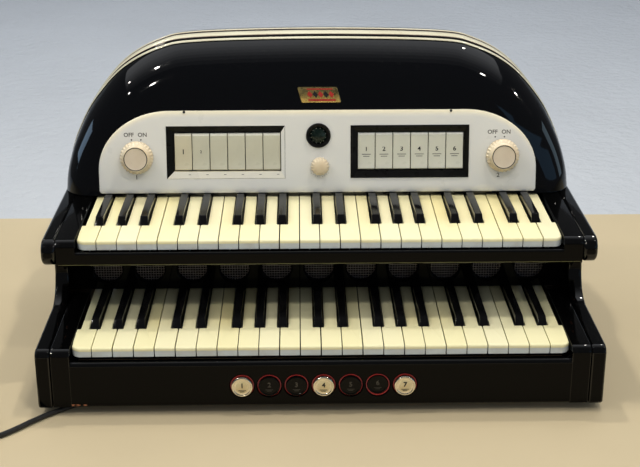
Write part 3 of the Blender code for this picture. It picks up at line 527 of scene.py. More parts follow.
leadSettings = {
    "radius": 3.0,
    "route": [(-150, -112, 5), (-162, -112, 5), (-180, -114, 4.3), (-205, -121, 3.3), (-235, -138, 3.3),
              (-262, -160, 3.3), (-279, -175, 3.3), (-293, -186, 3.3), (-309, -199, 3.3),
              (-326, -216, 3.3), (-340, -232, 3.3), (-356, -247, 3.3), (-376, -257.5, 3.3),
              (-396, -262, 3.3), (-408.7, -262, 3.3)],
    "coilCentre": (-415.0, -222.0),
    "coilRadius": 40.0,
    "step": 7.0,
    "layerStep": 6.9,
    "layers": 4,
    "layerTurns": 2,
    "floor": 3.3,
    "tail": [(-43.2, 14, 23.4), (-46, 28, 19.2), (-48, 41, 14.9), (-48, 47, 14.3), (-48, 53, 14.3)],
}


def smoothLine(points, steps):
    points = [Vector(p) for p in points]
    ends = [2 * points[0] - points[1]] + points + [2 * points[-1] - points[-2]]
    fine = []
    for a, b, c, d in zip(ends, ends[1:], ends[2:], ends[3:]):
        for t in angles(1, 24)[:-1]:
            fine.append(0.5 * (2 * b + (c - a) * t + (2 * a - 5 * b + 4 * c - d) * t ** 2
                               + (3 * b - a - 3 * c + d) * t ** 3))
    fine.append(points[-1])
    along = [0.0]
    for a, b in zip(fine, fine[1:]):
        along.append(along[-1] + (b - a).length)
    out = []
    j = 0
    for want in angles(along[-1], steps):
        while j < len(fine) - 2 and along[j + 1] < want:
            j += 1
        share = (want - along[j]) / max(along[j + 1] - along[j], 1e-9)
        out.append(fine[j].lerp(fine[j + 1], share))
    return out


def coilPoint(turns, s):
    # flat layers, wound inwards and outwards in turn, and the last one opens out into the tail
    wound = s["layers"] * s["layerTurns"]
    phase = turns % (2 * s["layerTurns"])
    inward = min(phase, 2 * s["layerTurns"] - phase)
    radius = s["coilRadius"] + s["step"] * (turns - wound if turns > wound else -inward)
    height = s["floor"]
    for layer in range(1, s["layers"]):
        share = min(max((turns - layer * s["layerTurns"] + 0.25) / 0.5, 0), 1)
        height += s["layerStep"] * share * share * (3 - 2 * share)
    angle = -math.pi / 2 - 2 * math.pi * turns
    cx, cy = s["coilCentre"]
    return Vector((cx + radius * math.cos(angle), cy + radius * math.sin(angle), height))


def makeLead(s):
    last = s["layers"] * s["layerTurns"] + 0.25
    coil = [coilPoint(turns, s) for turns in angles(last, round(last * 48))]
    cx, cy = s["coilCentre"]
    tail = smoothLine([coil[-2], coil[-1]] + [(cx + x, cy + y, z) for x, y, z in s["tail"]], 30)
    points = smoothLine(s["route"], 90) + coil[1:-1] + tail
    curve = bpy.data.curves.new("mainsLead", "CURVE")
    curve.dimensions = "3D"
    curve.bevel_depth = s["radius"] * mm
    curve.bevel_resolution = 6
    curve.use_fill_caps = True
    line = curve.splines.new("POLY")
    line.points.add(len(points) - 1)
    for target, p in zip(line.points, points):
        target.co = (*(p * mm), 1)
    curve.materials.append(finishes["rubber"])
    lead = settle(addObject("mainsLead", curve), replace=("mains_cord", "cord_coil"))
    length = sum((b - a).length for a, b in zip(points, points[1:]))
    return lead, length * mm, points[-1]


def makeGland(s):
    x, y, z = s["route"][0]
    profile = [(3.15, -24), (4.5, -22), (4.5, -4)]
    for k in range(9):  # moulded rings towards the mouth
        ring, groove, start = 4.4 - 0.1 * k, 3.9 - 0.08 * k, 1.8 * k
        profile += [(ring, start - 3), (ring, start - 2.2), (groove, start - 2), (groove, start - 1.5)]
    bm = moved(lathe(profile + [(3.25, 13.6)], 40), (x + 14.3, y, z), -math.pi / 2)
    base = 3.5
    lug = softEdges(boxed((x + 18, x + 34), (y - 8, y + 8), (base, 9.7)), 1.2, 3)
    for vert in lug.verts:
        vert.co.z = max(vert.co.z, base)
    appendTo(bm, lug)
    for dx in (22, 30):
        for dy in (-5, 5):
            prism(circleOutline(x + dx, y + dy, 1.7, 16), "Z", 2.9, 3.7, bm, 1)
    return makePiece("cordGland", bm, ("rubber", "steel"), "cord_rubber", replace=("cord_gland",))


def makePlug(end):
    body = 14.0
    profile = [(3.15, 0), (4.2, 0.3)]
    for k in range(5):  # strain relief rings
        ring, groove, start = 4.3 + 0.22 * k, 3.7 + 0.2 * k, 3.2 * k
        profile += [(ring, start + 1.5), (ring + 0.1, start + 3.4), (groove, start + 3.7),
                    (groove, start + 4.4)]
    profile += [(5.8, 18.5), (8.8, 20.8), (body - 1.2, 23), (body - 0.3, 24.5), (body, 26.5), (body, 33),
                (body - 0.7, 33.3), (body - 0.7, 34.2), (body, 34.5), (body, 43), (body - 0.6, 44.4),
                (body - 1.6, 45), (0, 45)]
    bm = lathe(profile, 72)
    for sign in sides.values():
        pin = [(2.3, 44), (2.3, 61.5), (2.1, 62.8), (1.4, 63.8), (0, 64)]
        lathe(pin, 24, bm=bm, index=1, centre=(sign * 9.5, 0, 0))
    lathe([(2.6, 44.2), (2.6, 45.3), (2.2, 45.6), (0, 45.3)], 20, bm=bm, index=1)
    at = (end.x, end.y + 0.3, end.z)
    return makePiece("mainsPlug", moved(bm, turn=math.pi), ("moulding", "chrome"), "black_plastic", at=at,
                     replace=("mains_plug",))


lead, leadLength, leadEnd = makeLead(leadSettings)
gland = makeGland(leadSettings)
plug = makePlug(leadEnd)
print(f"lead made: {leadLength:.3f} m")


# Floor, backdrop and lamps

stageSettings = {
    "floorColour": (0.55, 0.46, 0.30),
    "wallColour": (0.50, 0.53, 0.57),
    "front": -5.0,
    "half": 5.0,
    "greyFrom": 0.445,  # where the tan floor ends and the pale grey sweep begins, in metres behind the origin
    "wallFoot": 2.8,
    "curve": 0.6,
    "wallTop": 1.4,
    "worldColour": (0.93, 0.96, 1.0, 1),
    "world": 0.10,
    "rowColour": (1.0, 0.95, 0.86),
    "rows": [  # name, place, aimed at, size, watts, shows in glossy surfaces
        ("frontRowLeft", (-0.967, -0.225, 1.695), (-0.1, -0.05, 0.2), 0.06, 5.0, True),
        ("frontRowFarLeft", (-1.284, -0.028, 1.382), (-0.1, -0.05, 0.2), 0.05, 1.0, True),
        ("nearRowLeft", (-0.876, -0.957, 1.357), (-0.1, -0.05, 0.2), 0.05, 2.2, True),
        ("nearRowFarLeft", (-1.239, -0.562, 1.221), (-0.1, -0.05, 0.2), 0.04, 0.6, True),
        ("frontRowRight", (1.063, -0.554, 1.597), (0.1, -0.05, 0.2), 0.06, 1.8, True),
        ("frontRowFarRight", (1.576, -0.12, 1.181), (0.1, -0.05, 0.2), 0.035, 1.8, True),
        ("backRowLeft", (-0.948, 1.336, 1.5), (0, -0.15, 0.1), 0.08, 1.5, True),
        ("backRowRight", (0.75, 0.607, 1.5), (0, -0.15, 0.1), 0.06, 1.5, True),
        ("nearRowMiddle", (0.3, -0.966, 1.5), (0.1, -0.05, 0.1), 0.06, 4.4, False),
        ("middleRow", (0.35, -0.114, 1.75), (0.1, -0.05, 0.1), 0.06, 7.4, False),
        ("backRowMiddle", (-0.15, 0.40, 1.55), (0, -0.15, 0.1), 0.07, 7.0, False),
    ],
    "panels": [  # name, place, aimed at, width, height, watts, colour, shows in glossy surfaces
        ("windowLeft", (-3.0, 0.4, 0.98), (0, 0, 0.25), 1.0, 0.6, 5, (0.50, 0.73, 1.0), True),
        ("windowRight", (3.0, 0.3, 0.7), (0, 0, 0.25), 0.8, 1.0, 2.8, (0.60, 0.83, 1.0), True),
        ("windowFront", (2.32, -1.96, 0.75), (0, 0, 0.25), 2.6, 0.9, 3.2, (0.30, 0.62, 1.0), True),
        ("backdropLamp", (0.0, 1.9, 1.7), (0, 1.9, 0), 5.0, 1.4, 26, (0.95, 0.97, 1.0), False),
        ("frontFill", (0.0, -3.0, 1.7), (0, 0, 0.15), 6.0, 4.0, 35, (0.88, 0.93, 1.0), False),
    ],
    "ceilingColour": (0.95, 0.97, 1.0),
    "ceilingMiddle": -0.2,
    "ceilingHeight": 2.3,
    "ceilingWidth": 4.6,
    "ceiling": [(1.75, 0.0), (0.55, 14), (0.25, 2.8), (0.0, 1.8), (-0.25, 1.2), (-0.55, 0.75), (-0.9, 0.4)],
}


def stageFinish(name, colour, scale, depth):
    f = Finish(name, colour, 0.75)
    f.colour(f.mix(f.patches(3, 4, 0.3, 0.7), colour, darker(colour, 0.93)))
    f.relief(f.noise(scale, 4), depth)
    return f.material


def makeStage(s):
    foot, curve = s["wallFoot"], s["curve"]
    rows = [(s["front"], 0.0), (s["greyFrom"], 0.0), (foot, 0.0)]
    rows += [(foot + curve * y, curve * (1 - x)) for x, y in quarterArc(12)[1:]]
    rows.append((foot + curve, s["wallTop"]))
    bm = bmesh.new()
    ends = (-s["half"], s["half"])
    faces = bridgeAll(bm, [[bm.verts.new((x, y, z)) for x in ends] for y, z in rows], False)
    for face in faces[1:]:
        face.material_index = 1
    mesh = meshFrom("studioSweep", bm)
    mesh.shade_smooth()
    mesh.materials.append(stageFinish("paleTable", s["floorColour"], 500, 0.0001))
    mesh.materials.append(stageFinish("paleWall", s["wallColour"], 45, 0.006))
    addObject("studioSweep", mesh)


def ceilingLamps(s):
    # a soft ceiling that gets dimmer towards the front, as strips side by side
    out = []
    for number, ((back, _), (front, watts)) in enumerate(zip(s["ceiling"], s["ceiling"][1:]), 1):
        x, y = s["ceilingMiddle"], (front + back) / 2
        out.append((f"ceiling{number}", (x, y, s["ceilingHeight"]), (x, y, 0), s["ceilingWidth"],
                    back - front, watts, s["ceilingColour"], True))
    return out


def makeLamps(s):
    world = bpy.data.worlds.new("studioWorld")
    world.use_nodes = True
    background = world.node_tree.nodes["Background"]
    background.inputs["Color"].default_value = s["worldColour"]
    background.inputs["Strength"].default_value = s["world"]
    bpy.context.scene.world = world
    rows = [(name, place, aim, size, size, watts, s["rowColour"], glossy)
            for name, place, aim, size, watts, glossy in s["rows"]]
    for name, place, aim, width, height, watts, colour, glossy in rows + s["panels"] + ceilingLamps(s):
        data = bpy.data.lights.new(name, "AREA")
        data.shape = "RECTANGLE"
        data.size, data.size_y, data.energy = width, height, watts
        data.color = colour
        lamp = addObject(name, data)
        lamp.location = place
        lamp.rotation_euler = (Vector(aim) - Vector(place)).to_track_quat("-Z", "Y").to_euler()
        lamp.visible_glossy = glossy


makeStage(stageSettings)
makeLamps(stageSettings)
print("stage and lamps made")


# Manuals

keySettings = {
    "pitch": 23.5,
    "count": 24,
    "gap": 0.9,
    "height": 11.3,
    "cover": 4.0,  # thickness of the ivory-coloured cover
    "noseRound": 2.5,
    "head": 50.9,
    "pivot": 185.0,
    "tail": 4.0,
    "outerStep": 4.7,
    "outerRound": 11.0,
    "blackWidth": 11.0,
    "blackRise": 9.0,
    "blackSlope": 7.2,
    "blackTaper": 1.1,
    "capFall": 3.0,  # the black caps drop this much to the rear
    "slack": 0.32,  # most that a key is narrower on one side, so that the gaps differ
    "sunk": 0.22,  # most that a key has settled
    "blackShift": {"F": -3.0, "G": 0.0, "A": 3.0, "C": -2.4, "D": 2.4},
    "notes": "FGABCDE",
}
manuals = {
    "lower": {"front": -188.0, "top": 80.0, "floor": 22.3, "cap": 104.0, "loose": (7, 10)},
    "upper": {"front": -109.0, "top": 178.0, "floor": 154.3, "cap": 93.5, "loose": (11, 13)},
}


def keyLayout(s):
    # each key: colour, position, note, middle, and how far its tail steps in on the left and right
    keys = []
    span = s["pitch"] * s["count"] / 2
    side = s["blackWidth"] / 2 + s["gap"]
    last = s["count"] - 1
    for i in range(s["count"]):
        note, before = s["notes"][i % 7], s["notes"][(i - 1) % 7]
        left = -span + i * s["pitch"]
        stepLeft = s["outerStep"] if i == 0 else 0.0
        stepRight = s["outerStep"] if i == last else 0.0
        if i > 0 and before in s["blackShift"]:
            stepLeft = side + s["blackShift"][before]
        if i < last and note in s["blackShift"]:
            stepRight = side - s["blackShift"][note]
            keys.append(("black", i, note, left + s["pitch"] + s["blackShift"][note], 0.0, 0.0))
        keys.append(("white", i, note, left + s["pitch"] / 2, stepLeft, stepRight))
    return keys


def whiteOutline(s, stepLeft, stepRight, outer, inset, slack):
    half = s["pitch"] / 2 - s["gap"] / 2
    left, right = -half + slack[0], half - slack[1]
    front, headY = inset - s["pivot"], s["head"] - s["pivot"]
    tailLeft = left + max(stepLeft - s["gap"] / 2, 0)
    tailRight = right - max(stepRight - s["gap"] / 2, 0)

    def step(edge, tail):
        corners = [(edge, headY - 4), (edge, headY), (tail, headY), (tail, headY + 4)]
        return roundedOutline(corners, [0, 1.2, 0.9, 0], 4)[1:-1]

    r = s["outerRound"]
    arc = [(-r * (1 - y), front + r * (1 - x)) for x, y in quarterArc(12)]
    outline = [(left, front)] if outer >= 0 else [(left - x, y) for x, y in reversed(arc)]
    outline += [(right, front)] if outer <= 0 else [(right + x, y) for x, y in arc]
    outline += step(right, tailRight) if stepRight else []
    outline += [(tailRight, s["tail"]), (tailLeft, s["tail"])]
    outline += reversed(step(left, tailLeft)) if stepLeft else []
    return outline


def whiteKey(s, key, rng):
    _, i, _, _, stepLeft, stepRight = key
    outer = -1 if i == 0 else int(i == s["count"] - 1)
    seat, top = s["height"] - s["cover"], s["height"]
    slack = (rng.uniform(0, s["slack"]), rng.uniform(0, s["slack"]))

    def isNose(edge):
        one, two = (v.co for v in edge.verts)
        if min(one.z, two.z) <= top - 0.1 or max(one.y, two.y) >= s["outerRound"] + 0.1 - s["pivot"]:
            return False
        return abs(one.x - two.x) > 0.01 if outer else abs(one.y - two.y) < 0.01

    def isRim(edge):
        high, near = max(v.co.z for v in edge.verts), min(v.co.y for v in edge.verts)
        return high > seat + 0.5 and near > 3 - s["pivot"]

    bm = bmesh.new()
    tint = bm.verts.layers.float.new("tint")
    prism(whiteOutline(s, stepLeft, stepRight, outer, 0.45, slack), "Z", 0, seat, bm, 1)
    softEdges(bm, 0.3, 1, 60, lambda edge: all(v.co.z < 1 for v in edge.verts))
    for face in bm.faces:
        face.material_index = 1
    cover = prism(whiteOutline(s, stepLeft, stepRight, outer, 0, slack), "Z", seat, top)
    bevelled(cover, [edge for edge in cover.edges if isNose(edge)], s["noseRound"], 6)
    softEdges(cover, 0.5, 2, 50, isRim)
    appendTo(bm, cover)
    shade = rng.random()
    for vert in bm.verts:
        vert[tint] = shade
    return tidyFaces(bm)


def blackKey(s, cap):
    nose = s["head"] + s["gap"] - s["pivot"]
    top = s["height"] + s["blackRise"]
    under = 7.5
    corners = [(nose, 0), (nose, s["height"] - 0.6), (nose + s["blackSlope"], top),
               (nose + cap, top - s["capFall"]), (nose + cap, under), (s["tail"], under), (s["tail"], 0)]
    side = roundedOutline(corners, [0, 2.0, 2.6, 1.5, 0, 0, 0])
    half = s["blackWidth"] / 2
    bm = prism(side, "X", -half, half)
    narrowFrom = s["height"] - 2
    for vert in bm.verts:
        rise = (vert.co.z - narrowFrom) / (s["blackRise"] + 2)
        vert.co.x -= math.copysign(s["blackTaper"] * max(rise, 0), vert.co.x)
    softEdges(bm, 0.9, 3, 50, lambda edge: abs(edge.verts[0].co.x - edge.verts[1].co.x) < 3)
    return tidyFaces(bm)


def keyBed(name, s, m):
    # guide rail with felt and pins under the heads, and the rail that the keys tip on
    front, floor = m["front"], m["floor"]
    pivot = front + s["pivot"]
    under = m["top"] - s["height"]
    railTop = under - 12.6
    half = s["pitch"] * s["count"] / 2 - s["outerStep"]
    # the guide rail, floor plate and felt take near-black colours, painted shade for the gap under the keys
    bm = boxed((-half, half), (front + 20, front + 32), (floor, railTop), index=3)
    boxed((-half, half), (front + 32, pivot - 3), (floor, floor + 2.2), bm, 3)
    boxed((-half, half), (pivot - 3, pivot + 3), (floor, under - 0.3), bm)
    softEdges(bm, 0.4, 1)
    boxed((-half, half), (front + 21, front + 31), (railTop, railTop + 1), bm, 1)
    first, last = m["loose"]
    for i in range(s["count"]):
        cx = (i + 0.5 - s["count"] / 2) * s["pitch"]
        pinTop = under - 10.8 if first <= i <= last else under + 1
        prism(circleOutline(cx, front + 26, 1.0, 10), "Z", under - 12, pinTop, bm, 2)
    makePiece(f"{name}KeyBed", bm, ("wood", "shadedBedFelt", "steel", "shadedBedBlack"), "ivory_keys",
              replace=(f"{name}_key_frame",))


def makeManual(name, s, m):
    first, last = m["loose"]
    rng = random.Random(name)
    shape = {"white": lambda key: whiteKey(s, key, rng), "black": lambda key: blackKey(s, m["cap"])}
    # white keys: ivory cover, and a body in the bluish grey that paints the shade on the key fronts
    looks = {"white": ("ivory" + name.capitalize(), "front"), "black": "ebony"}
    slots = {"white": "ivory_keys", "black": "black_keys"}
    fixed = {"white": bmesh.new(), "black": bmesh.new()}
    fixed["white"].verts.layers.float.new("tint")
    for key in keyLayout(s):
        kind, i, note, cx = key[:4]
        sharp = kind == "black"
        bm = shape[kind](key)
        loose = first <= i <= last and not (sharp and i == last)
        sunk = 0.0 if loose else rng.uniform(0, s["sunk"])
        place = (cx, m["front"] + s["pivot"], m["top"] - s["height"] - sunk)
        bmesh.ops.translate(bm, vec=place, verts=bm.verts)
        if not loose:
            appendTo(fixed[kind], bm)
            continue
        node = f"{name}_key_{note}" + ("_sharp" if sharp else "")
        piece = f"{name}Key{note}" + ("Sharp" if sharp else "")
        makePiece(piece, bm, looks[kind], slots[kind], node, replace=(node,))
    for kind, bm in fixed.items():
        makePiece(f"{name}{kind.capitalize()}Keys", bm, looks[kind], slots[kind],
                  replace=(f"{name}_key_frame",))
    keyBed(name, s, m)


for manualName, manual in manuals.items():
    makeManual(manualName, keySettings, manual)
print("manuals made")


# Case: boards, rails and cheeks, all in black lacquer

caseSettings = {
    "half": 321.5,
    "bedHalf": 304.5,
    "face": -196.0,
    "back": 196.7,
    "foot": 10.0,
    "boardFoot": 8.4,
    "blockTop": 80.0,
    "railTop": 64.5,
    "railBack": -180,
    "lipDepth": 12.0,
    "frontGap": 0.9,
    "keySpan": 282.0,
    "blockGap": 0.6,
    "blockSeam": 0.12,  # how far the key blocks stand before the rail and the shelf
    "boardSeam": 0.15,
    "sweep": 38.0,
    "columnY": -41.0,
    "deckBottom": 148.0,
    "deckTop": 180.0,
    "nose": -114.0,
    "noseTop": 165.0,
    "shelfTop": 154.0,
    "cheekFront": -118.0,
    "buttons": 7,
    "buttonPitch": 30.7,
    "buttonX": 2.4,
    "buttonZ": 35.0,
    "buttonHole": 13.6,
    "screws": ((313.0, 141.0), (313.0, 124.0)),
    "chips": ((-283, 7), (-277, 4), (-268, 2.5)),  # where the lacquer is worn off, and how wide
}


def sidePrism(outline, side, inner, outer):
    return prism(outline, "X", *sorted((sides[side] * inner, sides[side] * outer)))


def sideBoard(side, s):
    low, top = s["boardFoot"], s["deckBottom"] - 0.3
    corners = [(s["face"], low), (s["face"], s["blockTop"]), (s["columnY"], s["blockTop"]),
               (s["columnY"], top), (s["back"], top), (s["back"], low)]
    outline = roundedOutline(corners, [3, 10, s["sweep"], 0, 0, 0], 18)
    bm = sidePrism(outline, side, s["bedHalf"] + s["boardSeam"], s["half"])
    softEdges(bm, 4.6, 7, 60, lambda edge: min(abs(v.co.x) for v in edge.verts) > s["half"] - 1)
    softEdges(bm, 2.2, 4, 60, lambda edge: max(abs(v.co.x) for v in edge.verts) < s["bedHalf"] + 1)
    lacquered("sideBoard" + side.capitalize(), tidyFaces(bm), f"side_board_{side}")


def lipCorner(side, frontY, low, high, s):
    edgeX, edgeY = s["keySpan"] + s["blockGap"], frontY - s["frontGap"]
    r = keySettings["outerRound"] + s["frontGap"]
    arc = [(edgeX - r + r * x, edgeY + r - r * y) for x, y in quarterArc(12)]
    outline = [(edgeX + 2, arc[0][1])] + arc + [(arc[-1][0], edgeY - 2), (edgeX + 2, edgeY - 2)]
    return prism([(sides[side] * x, y) for x, y in outline], "Z", low, high)


def keyBlock(side, front, back, low, top, lowRound, half, s):
    outline = roundedOutline([(front, low), (front, top), (back, top), (back, low)], [lowRound, 9, 1, 0], 14)
    bm = sidePrism(outline, side, s["keySpan"] + s["blockGap"], half)
    return softEdges(bm, 2.6, 4, 60, lambda edge: max(v.co.z for v in edge.verts) > low + 1)


def buttonPlaces(s):
    middle = (s["buttons"] + 1) / 2
    return {number: (s["buttonX"] + (number - middle) * s["buttonPitch"], s["face"], s["buttonZ"])
            for number in range(1, s["buttons"] + 1)}


def frontRail(s):
    half = s["bedHalf"] - 0.5
    keyFrontY = manuals["lower"]["front"]
    lipY, step = keyFrontY - s["frontGap"], s["railTop"] - s["lipDepth"]
    corners = [(s["face"], s["foot"]), (s["face"], s["railTop"]), (lipY, s["railTop"]), (lipY, step),
               (s["railBack"], step), (s["railBack"], s["foot"])]
    outline = roundedOutline(corners, [2, 5, 1.2, 1, 0.5, 0], 10)
    obj = lacquered("lowerFrontRail", prism(outline, "X", -half, half), "lower_front_rail")
    r = s["buttonHole"]
    hole = [(r + 1.6, 6), (r + 1.6, 0.4), (r + 0.9, -0.4), (r, -1.2), (r, -30)]
    carve(obj, [lathe(hole, 64, centre=centre) for centre in buttonPlaces(s).values()])
    ends = bmesh.new()
    for side in sides:
        appendTo(ends, keyBlock(side, s["face"] - s["blockSeam"], -30.3, s["foot"] + 0.2, s["blockTop"], 0,
                                half, s))
        appendTo(ends, lipCorner(side, keyFrontY, step + 2, s["railTop"] - 0.3, s))
    lacquered("lowerKeyBlocks", tidyFaces(ends), "lower_front_rail")


def upperShelf(s):
    nose, low, half = s["nose"], s["deckBottom"], s["bedHalf"]
    keyFrontY = manuals["upper"]["front"]
    lipY = keyFrontY - s["frontGap"]
    corners = [(nose, low + 1), (nose, s["noseTop"]), (lipY, s["noseTop"]), (lipY, s["shelfTop"]),
               (s["back"], s["shelfTop"]), (s["back"], low), (nose + 5, low)]
    bm = prism(roundedOutline(corners, [1.8, 2.6, 1.2, 1, 0, 0, 0.8], 10), "X", -half, half)
    for side in sides:
        appendTo(bm, keyBlock(side, nose - s["blockSeam"], 101, low + 0.2, s["deckTop"] - 0.5, 3, half, s))
        appendTo(bm, lipCorner(side, keyFrontY, s["shelfTop"] - 1, s["noseTop"] - 0.3, s))
    lacquered("upperShelf", tidyFaces(bm), "upper_shelf")


def upperCheek(side, s):
    front, back, low, top = s["cheekFront"], s["back"], s["deckBottom"], s["deckTop"]
    outline = roundedOutline([(front, low), (front, top), (back, top), (back, low)], [15, 15.5, 0, 0], 18)
    bm = softEdges(sidePrism(outline, side, s["bedHalf"] + s["boardSeam"], s["half"]), 4.2, 6, 60)
    lacquered("upperCheek" + side.capitalize(), tidyFaces(bm), f"upper_cheek_{side}")


def noseLine(s):
    # painted reflection: a dim gold line along the lower edge of the shelf's nose, standing in for what the
    # rounding there reflects
    half = s["bedHalf"] - 2
    bm = boxed((-half, half), (s["nose"] - 0.2, s["nose"] + 0.5), (150.1, 150.8))
    makePiece("noseLine", bm, "olive", "gilt")


def columnScrews(s):
    # countersunk screws with brown stopping, in the column fronts
    bm = bmesh.new()
    for sign in sides.values():
        for x, z in s["screws"]:
            head = [(0, 0.5), (2.0, 0.45), (2.9, 0.15), (3.0, -0.6)]
            lathe(head, 24, bm=bm, centre=(sign * x, s["columnY"], z))
    makePiece("columnScrews", bm, "stopping", "plain_wood")


def wornCorner(s):
    # lacquer rubbed through to the wood at the rail's lower edge
    bm = bmesh.new()
    rng = random.Random("worn")
    for x, wide in s["chips"]:
        chip = [(x + wide * c * rng.uniform(0.8, 1.1), s["foot"] + 2.6 + 1.1 * t) for c, t in fullCircle(14)]
        prism(chip, "Y", s["face"] - 0.06, s["face"] + 0.2, bm)
    makePiece("wornCorner", bm, "stopping", "plain_wood")


for side in sides:
    sideBoard(side, caseSettings)
    upperCheek(side, caseSettings)
for make in (frontRail, upperShelf, noseLine, columnScrews, wornCorner):
    make(caseSettings)
print("case made")


# Push buttons and their felt

buttonSettings = {
    "radius": 12.2,
    "raised": (1, 4, 7),
    "pressed": 6,
    "proud": {"raised": 3.9, "flat": 2.4, "sunk": 3.2},
    "marks": ((-4.1, 4.2), (-5.6, 2.6)),  # height and half width of the short strokes under the numeral
    "numeral": 8.0,
    "numeralRise": 1.8,
    "feltSheet": ((-125, 130), (-179.7, -177.2), (16, 54)),
}


def plainText(name, words, size, place, look, body="case", plane=Matrix.Identity(4), extrude=0.04):
    data = bpy.data.curves.new(name, "FONT")
    data.body = words
    data.size = size * mm
    data.extrude = extrude * mm
    data.offset = 0.022 * size * mm
    data.resolution_u = 3
    data.align_x = "CENTER"
    data.align_y = "CENTER"
    holder = addObject(name, data)
    bpy.context.view_layer.update()
    mesh = bpy.data.meshes.new_from_object(holder.evaluated_get(bpy.context.evaluated_depsgraph_get()))
    bpy.data.objects.remove(holder)
    mesh.transform(Matrix.Rotation(math.pi / 2, 4, "X"))
    mesh.materials.clear()
    mesh.materials.append(finishes[look])
    obj = addObject(name, mesh)
    obj.matrix_world = plane @ Matrix.Translation(Vector(place) * mm)
    settle(obj, body)


def pushButton(number, place, s):
    raised = number in s["raised"]
    front = s["proud"]["raised" if raised else "flat"] - (s["proud"]["sunk"] if number == s["pressed"] else 0)
    looks, slotName, inkLook = ("capRim", "cap"), "button_ivory", "ink"
    if not raised:
        looks, slotName, inkLook = ("blackCap", "blackCap"), "black_plastic", "dimPrint"
    r = s["radius"]
    rim = [(5, -20), (5, -13.6), (5.6, -13), (r - 0.3, -13), (r, -12.6), (r, front - 1.5),
           (r - 0.25, front - 0.7), (r - 0.9, front - 0.12), (r - 1.5, front), (r - 2.2, front - 0.2),
           (r - 2.7, front - 0.8), (0, front - 1.9)]
    disc = [(r - 2.75, front - 2.2), (r - 2.75, front - 0.8), (r - 3.1, front - 1.15), (r - 3.6, front - 1.2),
            (r - 6.5, front - 0.75), (3.0, front - 0.55), (0, front - 0.5)]
    bm = lathe(disc, 72, bm=lathe(rim, 72), index=1)
    node = f"push_button_{number}"
    x, face, z = place
    makePiece(f"pushButton{number}", bm, looks, slotName, node, at=place, replace=(node,))
    marks = bmesh.new()
    y = 0.35 - front
    for h, wide in s["marks"]:
        boxed((-wide, wide), (y - 0.02, y + 0.5), (h - 0.28, h + 0.28), marks)
    makePiece(f"buttonMark{number}", marks, inkLook, slotName, node, at=place)
    plainText(f"buttonNumeral{number}", str(number), s["numeral"], (x, face + y - 0.02, z + s["numeralRise"]),
              inkLook, node, extrude=0.15)


def buttonFelt(places, s):
    bm = boxed(*s["feltSheet"])
    r = s["radius"]
    edge = caseSettings["buttonHole"] - 0.3
    for x, face, z in places.values():
        collar = [(r + 0.3, -17.5), (r + 0.3, -1.0), (r + 0.6, -0.3), (r + 0.95, -0.5), (edge, -1.4),
                  (edge, -17.5)]
        bridgeAll(bm, [[bm.verts.new((x + radius * c, face - forward, z + radius * t))
                        for c, t in fullCircle(64)] for radius, forward in collar])
    bmesh.ops.recalc_face_normals(bm, faces=bm.faces)
    makePiece("buttonFelt", bm, "felt", "red_felt", replace=("button_felt",))


for number, place in buttonPlaces(caseSettings).items():
    pushButton(number, place, buttonSettings)
buttonFelt(buttonPlaces(caseSettings), buttonSettings)
print("buttons made")


# Hood: one arch profile, rounded into the sloping face

hoodSettings = {
    "arch": [(320, 150), (320, 180), (316, 211), (304, 247), (281, 289), (244, 332), (200, 357),
             (150, 366.5), (0, 370)],
    "samples": 120,
    "faceY": 41.0,
    "faceZ": 180.0,
    "tilt": math.radians(8.5),
    "wall": 4.0,
    "filletSide": 34.0,
    "filletTop": 72.0,
    "filletSteps": 20,
    "backRings": [(143, 0.0), (150, 0.6), (160, 2.2), (168, 3.7), (176, 5.3), (183, 7.3), (189, 9.8),
                  (193.5, 12.4), (196.7, 15.2)],  # depth, and how far the shell draws in there
    "openingInset": 14,
    "trim": (103.5, 141.0),
    "trimFoot": 180.9,
    # each rib: start and end as shares of the trim's width, foot and top over the hood
    "ribs": ((0.01, 0.12, 0.7, 1.7), (0.31, 0.62, 0.9, 1.8), (0.87, 0.99, 0.7, 1.6)),
    "gaps": ((0.125, 0.29), (0.625, 0.85)),
}
faceTilt = Matrix.Rotation(-hoodSettings["tilt"], 4, "X")
facePlace = Vector((0, hoodSettings["faceY"], hoodSettings["faceZ"]))
facePlane = Matrix.Translation(facePlace * mm) @ faceTilt


def hoodArch(s):
    # points along the arch with their outward directions
    last = s["arch"][-2]
    half = [p for p in smoothLine(s["arch"] + [(-last[0], last[1])], 4 * s["samples"]) if p.x > 0]
    half = [half[round(share)] for share in angles(len(half) - 1, s["samples"] - 1)]
    line = [Vector((-p.x, p.y)) for p in half] + half[::-1]
    out = []
    for i, p in enumerate(line):
        along = (line[min(i + 1, len(line) - 1)] - line[max(i - 1, 0)]).normalized()
        out.append((p, Vector((-along.y, along.x))))
    return out


def filletAt(point, normal, s):
    # centre and radius of the rounding from the arch into the sloping face
    rise = max(normal.y, 0.0)
    radius = s["filletSide"] + (s["filletTop"] - s["filletSide"]) * rise * rise * (3 - 2 * rise)
    x, z = point - normal * radius
    y = s["faceY"] + (z - s["faceZ"]) * math.tan(s["tilt"]) + radius / math.cos(s["tilt"])
    return Vector((x, y, z)), radius


def filletTurn(normal, share, s):
    face = Vector((0, -math.cos(s["tilt"]), math.sin(s["tilt"])))
    out = Vector((normal.x, 0, normal.y))
    angle = face.angle(out)
    return (math.sin((1 - share) * angle) * face + math.sin(share * angle) * out) / math.sin(angle)


